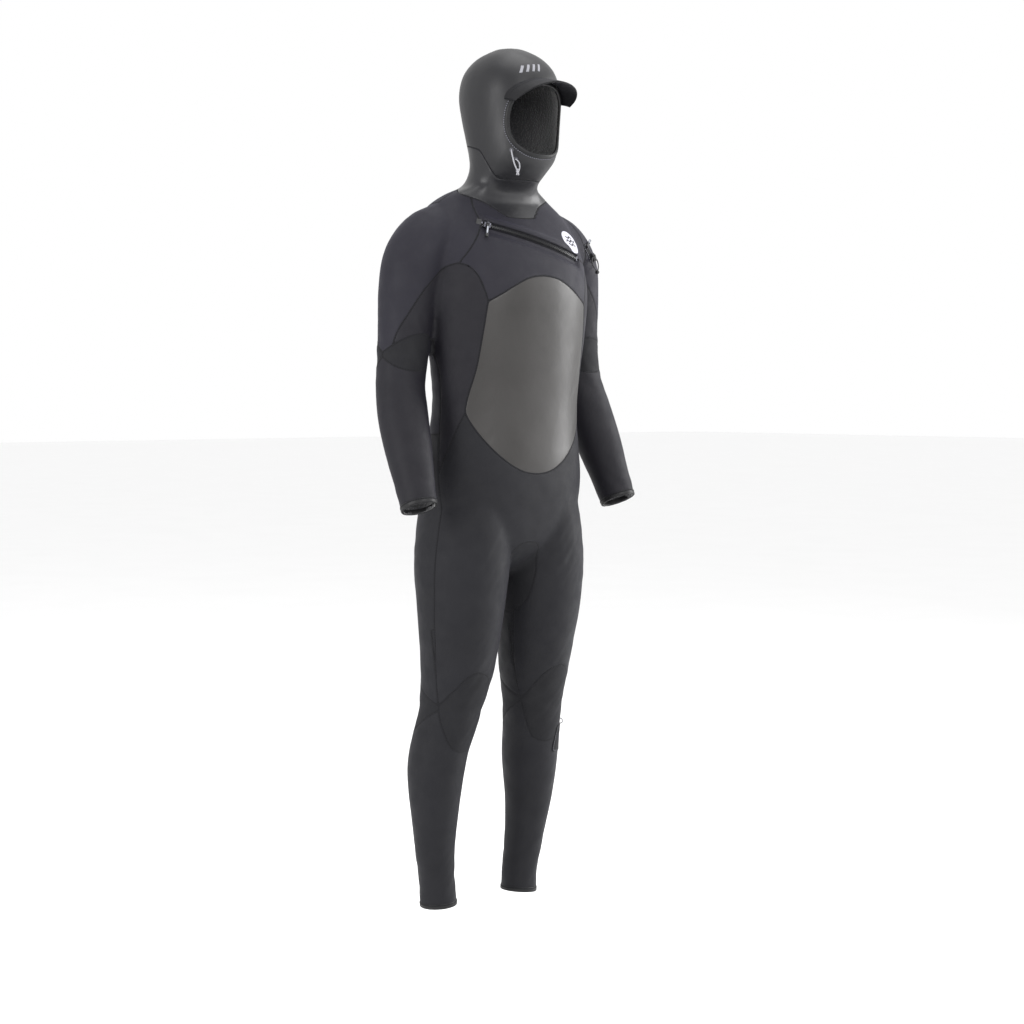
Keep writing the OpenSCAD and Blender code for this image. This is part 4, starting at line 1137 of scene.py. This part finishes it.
def tube(name, line, radius, material, sides=12, swell=None):
    """A round cord along a line, with UVs round and along it."""
    t = np.gradient(line, axis=0)
    t /= np.linalg.norm(t, axis=1)[:, None]
    n = np.cross(t[0], (0.3, -0.8, 0.1))
    frames = []
    for d in t:
        n = n - (n @ d) * d
        n /= np.linalg.norm(n)
        frames.append((n, np.cross(d, n)))
    length = np.concatenate([[0], np.cumsum(np.linalg.norm(np.diff(line, axis=0), axis=1))])
    v, uv = [], []
    for i, (p, (a, b)) in enumerate(zip(line, frames)):
        r = radius if swell is None else swell[i]
        for k in range(sides + 1):
            w = 2 * math.pi * k / sides
            v.append(p + r * (math.cos(w) * a + math.sin(w) * b))
            uv.append((length[i], k / sides))
    m = sides + 1
    faces = [(i * m + k, (i + 1) * m + k, (i + 1) * m + k + 1, i * m + k + 1)
             for i in range(len(line) - 1) for k in range(sides)]
    o = fill_mesh(name, np.array(v), np.array(faces)[:, ::-1], uv)
    o.data.materials.append(MAT[material])
    return o, length[-1]


HOOD_CORD = [(-56.6, -99.9, 1479.7), (-58.4, -101.4, 1479.2), (-60.4, -104.6, 1475.5), (-61, -107.2, 1468.5),
             (-59.8, -108.7, 1460.5), (-57.5, -109.2, 1453), (-54.5, -109.5, 1446.5), (-51, -109.5, 1441.5),
             (-47.5, -109.3, 1440), (-44.8, -109, 1444), (-44, -108.9, 1450), (-45, -108.4, 1455.5),
             (-46.6, -106.6, 1459.2), (-47.7, -104.4, 1461.3), (-48.2, -102.5, 1462.8)]
SHOULDER_CORD = [(207.6, -50.9, 1261.6), (204.5, -49.6, 1265.5), (200.8, -48.2, 1271.5), (199.3, -46.6, 1278.5),
                 (200.2, -45.2, 1284.5), (203, -43.6, 1288), (208.5, -41.4, 1288), (214, -39.2, 1288),
                 (218.6, -39, 1285), (220, -40.8, 1279), (218, -44.3, 1271.5), (214.6, -47.6, 1265.5),
                 (211.2, -49.7, 1261.6)]
hood_line = curve_through([at(*p) for p in HOOD_CORD])
hood_cord, hood_length = tube("drawcord", hood_line, 0.0013, "cord_light")
shoulder_line = curve_through([at(*p) for p in SHOULDER_CORD])
shoulder_cord, shoulder_length = tube("shoulder_bungee", shoulder_line, 0.0012, "cord_dark")

# The knot: an overhand turn of the same cord, and its two tails
k0 = (Vector(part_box("cord_knot")[0]) + Vector(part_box("cord_knot")[1])) / 2
k0.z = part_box("cord_knot")[1].z - 0.0033
turns = [k0 + Vector((0.0021 * math.sin(2 * a), -0.0019 * math.sin(3 * a) * 0.6, 0.0023 * math.sin(a) + 0.0006))
         for a in np.linspace(0, 2 * math.pi, 26)]
knot, _ = tube("drawcord_knot", curve_through(turns, 0.0006), 0.0013, "cord_light")
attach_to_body(knot, "suit")
for i, k in enumerate((-1, 1)):
    line = curve_through([k0 + Vector((0.0006 * k, 0, 0)), k0 + Vector((0.0012 * k, 0, -0.003)),
                          k0 + Vector((0.002 * k, 0.0004, -0.006)), k0 + Vector((0.0025 * k, 0.0006, -0.0085))], 0.0006)
    swell = np.full(len(line), 0.0012)
    swell[-3:] = (0.0013, 0.0011, 0.0002)
    tail, _ = tube("drawcord_tail_%d" % (i + 1), line, 0.0012, "cord_light", swell=swell)
    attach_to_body(tail, "suit")
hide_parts("cord_knot")
fitted([hood_cord], "suit", "hood_cord")
fitted([shoulder_cord], "suit", "shoulder_cord")



# --- Chest zip ----------------------------------------------------------------
def zip_sweep(name, outline, material, a0=-31.0, a1=17.0, step=0.5):
    """A closed outline of outward and height, swept round the zip's circle."""
    turns = np.arange(a0, a1 + 0.01, step)
    k, m = len(outline), len(turns)
    v = np.concatenate([from_zip(turns, np.full(m, ZIP_R + r), np.full(m, h)) for r, h in outline])
    i, j = np.meshgrid(np.arange(k), np.arange(m - 1), indexing="ij")
    p, q = (i * m + j).ravel(), ((i + 1) % k * m + j).ravel()
    faces = [tuple(f) for f in np.stack([p, p + 1, q + 1, q], 1)]
    faces += [tuple(np.arange(k) * m)[::-1], tuple(np.arange(k) * m + m - 1)]
    uv = np.stack([np.tile(np.radians(turns) * ZIP_R / 1000, k), np.repeat(np.linspace(0, 1, k), m)], 1)
    o = cleaned(fill_mesh(name, v, [list(f) for f in faces], uv))
    o.data.materials.append(MAT[material])
    return o


ribbon = zip_sweep("zip_ribbon", [(-4.3, -7.9), (-2.2, -7.9), (-2.0, -7.5), (-2.0, -2.9), (-1.9, 0), (-2.0, 2.9),
                                  (-2.0, 7.5), (-2.2, 7.9), (-4.3, 7.9)], "tape")
edging = [zip_sweep("zip_stitch_%d" % (i + 1), [(-2.1, h - 0.5), (-1.75, h - 0.25), (-1.75, h + 0.25), (-2.1, h + 0.5)],
                    "seam", -30.8, 16.8) for i, h in enumerate((-5.4, 5.4))]
fitted([ribbon, *edging], "suit", "zip_tape")


# --- Patches ------------------------------------------------------------------
def turned(x, z):
    """Axes across, outward and up of a frame tipped by x and turned by z degrees."""
    x, z = math.radians(x), math.radians(z)
    turn = np.array([[math.cos(z), -math.sin(z), 0], [math.sin(z), math.cos(z), 0], [0, 0, 1]])
    tip = np.array([[1, 0, 0], [0, math.cos(x), -math.sin(x)], [0, math.sin(x), math.cos(x)]])
    across, back, up = (turn @ tip).T
    return across, -back, up


def layer_on(centre, axes, reach=0.05):
    across, out, up = axes

    def lay(q):
        point = np.array(at(*centre)) + (across * q[0] + up * q[1]) / 1000
        found = onto(point + out * reach, -out)
        return found if found else (point, out)
    return lay


def rounded(x0, x1, z0, z1, r, count=8):
    """A rectangle with rounded corners."""
    points = []
    for cx, cz, start in ((x1 - r, z1 - r, 0), (x0 + r, z1 - r, 90), (x0 + r, z0 + r, 180), (x1 - r, z0 + r, 270)):
        points += [(cx + r * math.cos(a), cz + r * math.sin(a))
                   for a in np.radians(np.linspace(start, start + 90, count))]
    out = []
    for p, q in zip(points, points[1:] + points[:1]):
        steps = max(1, int(math.dist(p, q) / 3))
        out += [(p[0] + (q[0] - p[0]) * f / steps, p[1] + (q[1] - p[1]) * f / steps) for f in range(steps)]
    return out


def sewn_round(name, outline, inset, lay, height, material):
    """A line of stitches inside a patch's edge."""
    outline = np.array(outline, float)
    middle = outline.mean(0)
    span = np.linalg.norm(outline - middle, axis=1)
    line = middle + (outline - middle) * ((span - inset) / span)[:, None]
    rows = np.array([np.concatenate([p + n * height / 1000, n]) for p, n in (lay(q) for q in line)])
    rows, along = resample(np.vstack([rows, rows[:1]]), 0.0015, closed=True, soften=1)
    profile = [(-0.8, -0.2), (-0.4, 0.25), (0.4, 0.25), (0.8, -0.2)]
    return strip(name, rows[:, :3], rows[:, 3:], profile, material, along, True)


calf, calf_axes = (150, -1, 322), turned(0, 40)
on_calf = layer_on(calf, calf_axes)
edge = rounded(-21.5, 21.5, -31.5, 23.5, 7)
pocket = decal("key_pocket_patch", edge, on_calf, 1.1, "patch", 8)
pocket_stitch = sewn_round("key_pocket_stitch", edge, 2.6, on_calf, 1.15, "pale_seam")
flap = decal("key_pocket_flap", rounded(-21.0, 21.0, 8, 23.0, 5), on_calf, 1.35, "patch", 5)
turn = []
for a in np.linspace(0, 2 * math.pi, 25):
    turn.append(at(*calf) + Vector(calf_axes[1] * (4 + 5 * math.cos(a)) + calf_axes[2] * (30 + 5 * math.sin(a))) / 1000)
loop, _ = tube("key_ribbon_loop", curve_through(turn), 0.0011, "cord_light")
fitted([pocket, pocket_stitch, flap], "shin_l", "key_pocket")
fitted([loop], "shin_l", "key_loop")

lock, lock_axes = (208.5, -41.4, 1288), turned(-16, 21.5)
on_lock = layer_on(lock, lock_axes)
away = (np.array((190, -35.6, 1308)) - lock)
tip = np.array((away @ lock_axes[0], away @ lock_axes[2]))
lean = math.degrees(math.atan2(tip[1], tip[0]))
edge = [(9.5 * math.cos(a), 9.5 * math.sin(a)) for a in np.radians(np.linspace(lean + 96, lean + 264, 22))]
edge += [(tip[0] + 7.5 * math.cos(a), tip[1] + 7.5 * math.sin(a))
         for a in np.radians(np.linspace(lean - 84, lean + 84, 18))]
edge = [tuple(p) for p in resample(np.array(edge + edge[:1]), 2.0, closed=True, soften=0)[0][:-1]]
base_patch = decal("lock_patch", edge, on_lock, 0.7, "patch", 6)
base_stitch = sewn_round("lock_patch_stitch", edge, 1.6, on_lock, 0.75, "pale_seam")
saddle = bpy.data.meshes.new("lock_saddle")
b = bmesh.new()
bmesh.ops.create_cube(b, size=1)
for v in b.verts:
    x, y, z = v.co.x * 5, v.co.y * 4 - 6.95, v.co.z * 10 - 0.5
    v.co = at(*lock) + Vector(lock_axes[0] * x + lock_axes[1] * y + lock_axes[2] * z) / 1000
bmesh.ops.bevel(b, geom=b.edges[:], offset=0.0009, segments=3, affect="EDGES")
b.to_mesh(saddle)
b.free()
saddle.materials.append(MAT["patch"])
saddle = bpy.data.objects.new("lock_saddle", saddle)
scene.collection.objects.link(saddle)
fitted([base_patch, base_stitch, saddle], "suit", "lock_base")

# --- Moulded and metal parts, shown as drawn -----------------------------------
FITTING = {"zip_teeth": "plastic", "zip_stops": "dark_metal", "zip_garage": "rubber", "zip_slider": "dark_metal",
           "pull_strap": "plastic", "pull_tube": "metal", "pull_tip": "plastic", "eyelets": "grey",
           "cord_lock": "plastic", "lock_button": "grey", "cord_bead": "plastic", "tab_post": "dark_metal",
           "cord_tab": "plastic", "tab_grip": "metal"}
for node, material in FITTING.items():
    o = frame["nodes"][node]
    for part in [o, *o.children_recursive]:
        if part.type == "MESH":
            part.data.materials.clear()
            part.data.materials.append(MAT[material])


# --- Light and floor --------------------------------------------------------
def area(name, place, size, power, colour=(1, 1, 1)):
    data = bpy.data.lights.new(name, "AREA")
    data.shape, data.size, data.size_y, data.energy, data.color = "RECTANGLE", size[0], size[1], power, colour
    o = bpy.data.objects.new(name, data)
    o.location = place
    o.rotation_euler = (Vector((0, 0, 1.0)) - Vector(place)).to_track_quat("-Z", "Y").to_euler()
    scene.collection.objects.link(o)


world = bpy.data.worlds.new("studio")
world.use_nodes = True
world.node_tree.nodes["Background"].inputs[0].default_value = (1, 1, 1, 1)
world.node_tree.nodes["Background"].inputs[1].default_value = 1.0
scene.world = world
area("key", (-1.2, -4.2, 2.6), (1.6, 2.2), 95)
area("side_left", (-4.0, 0.2, 1.7), (1.2, 2.4), 90)
area("side_right", (3.6, -1.6, 1.8), (1.2, 2.6), 150)
area("top", (0.2, -0.4, 3.6), (2.4, 2.4), 50)

floor_mesh = bpy.data.meshes.new("floor")
floor_mesh.from_pydata([(-40, -40, -0.1), (40, -40, -0.1), (40, 40, -0.1), (-40, 40, -0.1)], [], [(0, 1, 2, 3)])
floor = bpy.data.objects.new("floor", floor_mesh)
scene.collection.objects.link(floor)
pale = Nodes("floor_pale")
pale.set(Base_Color=pale.mix(pale.noise(3), (0.92, 0.92, 0.92, 1), (0.95, 0.95, 0.95, 1)), Roughness=0.8)
floor_mesh.materials.append(pale.material)
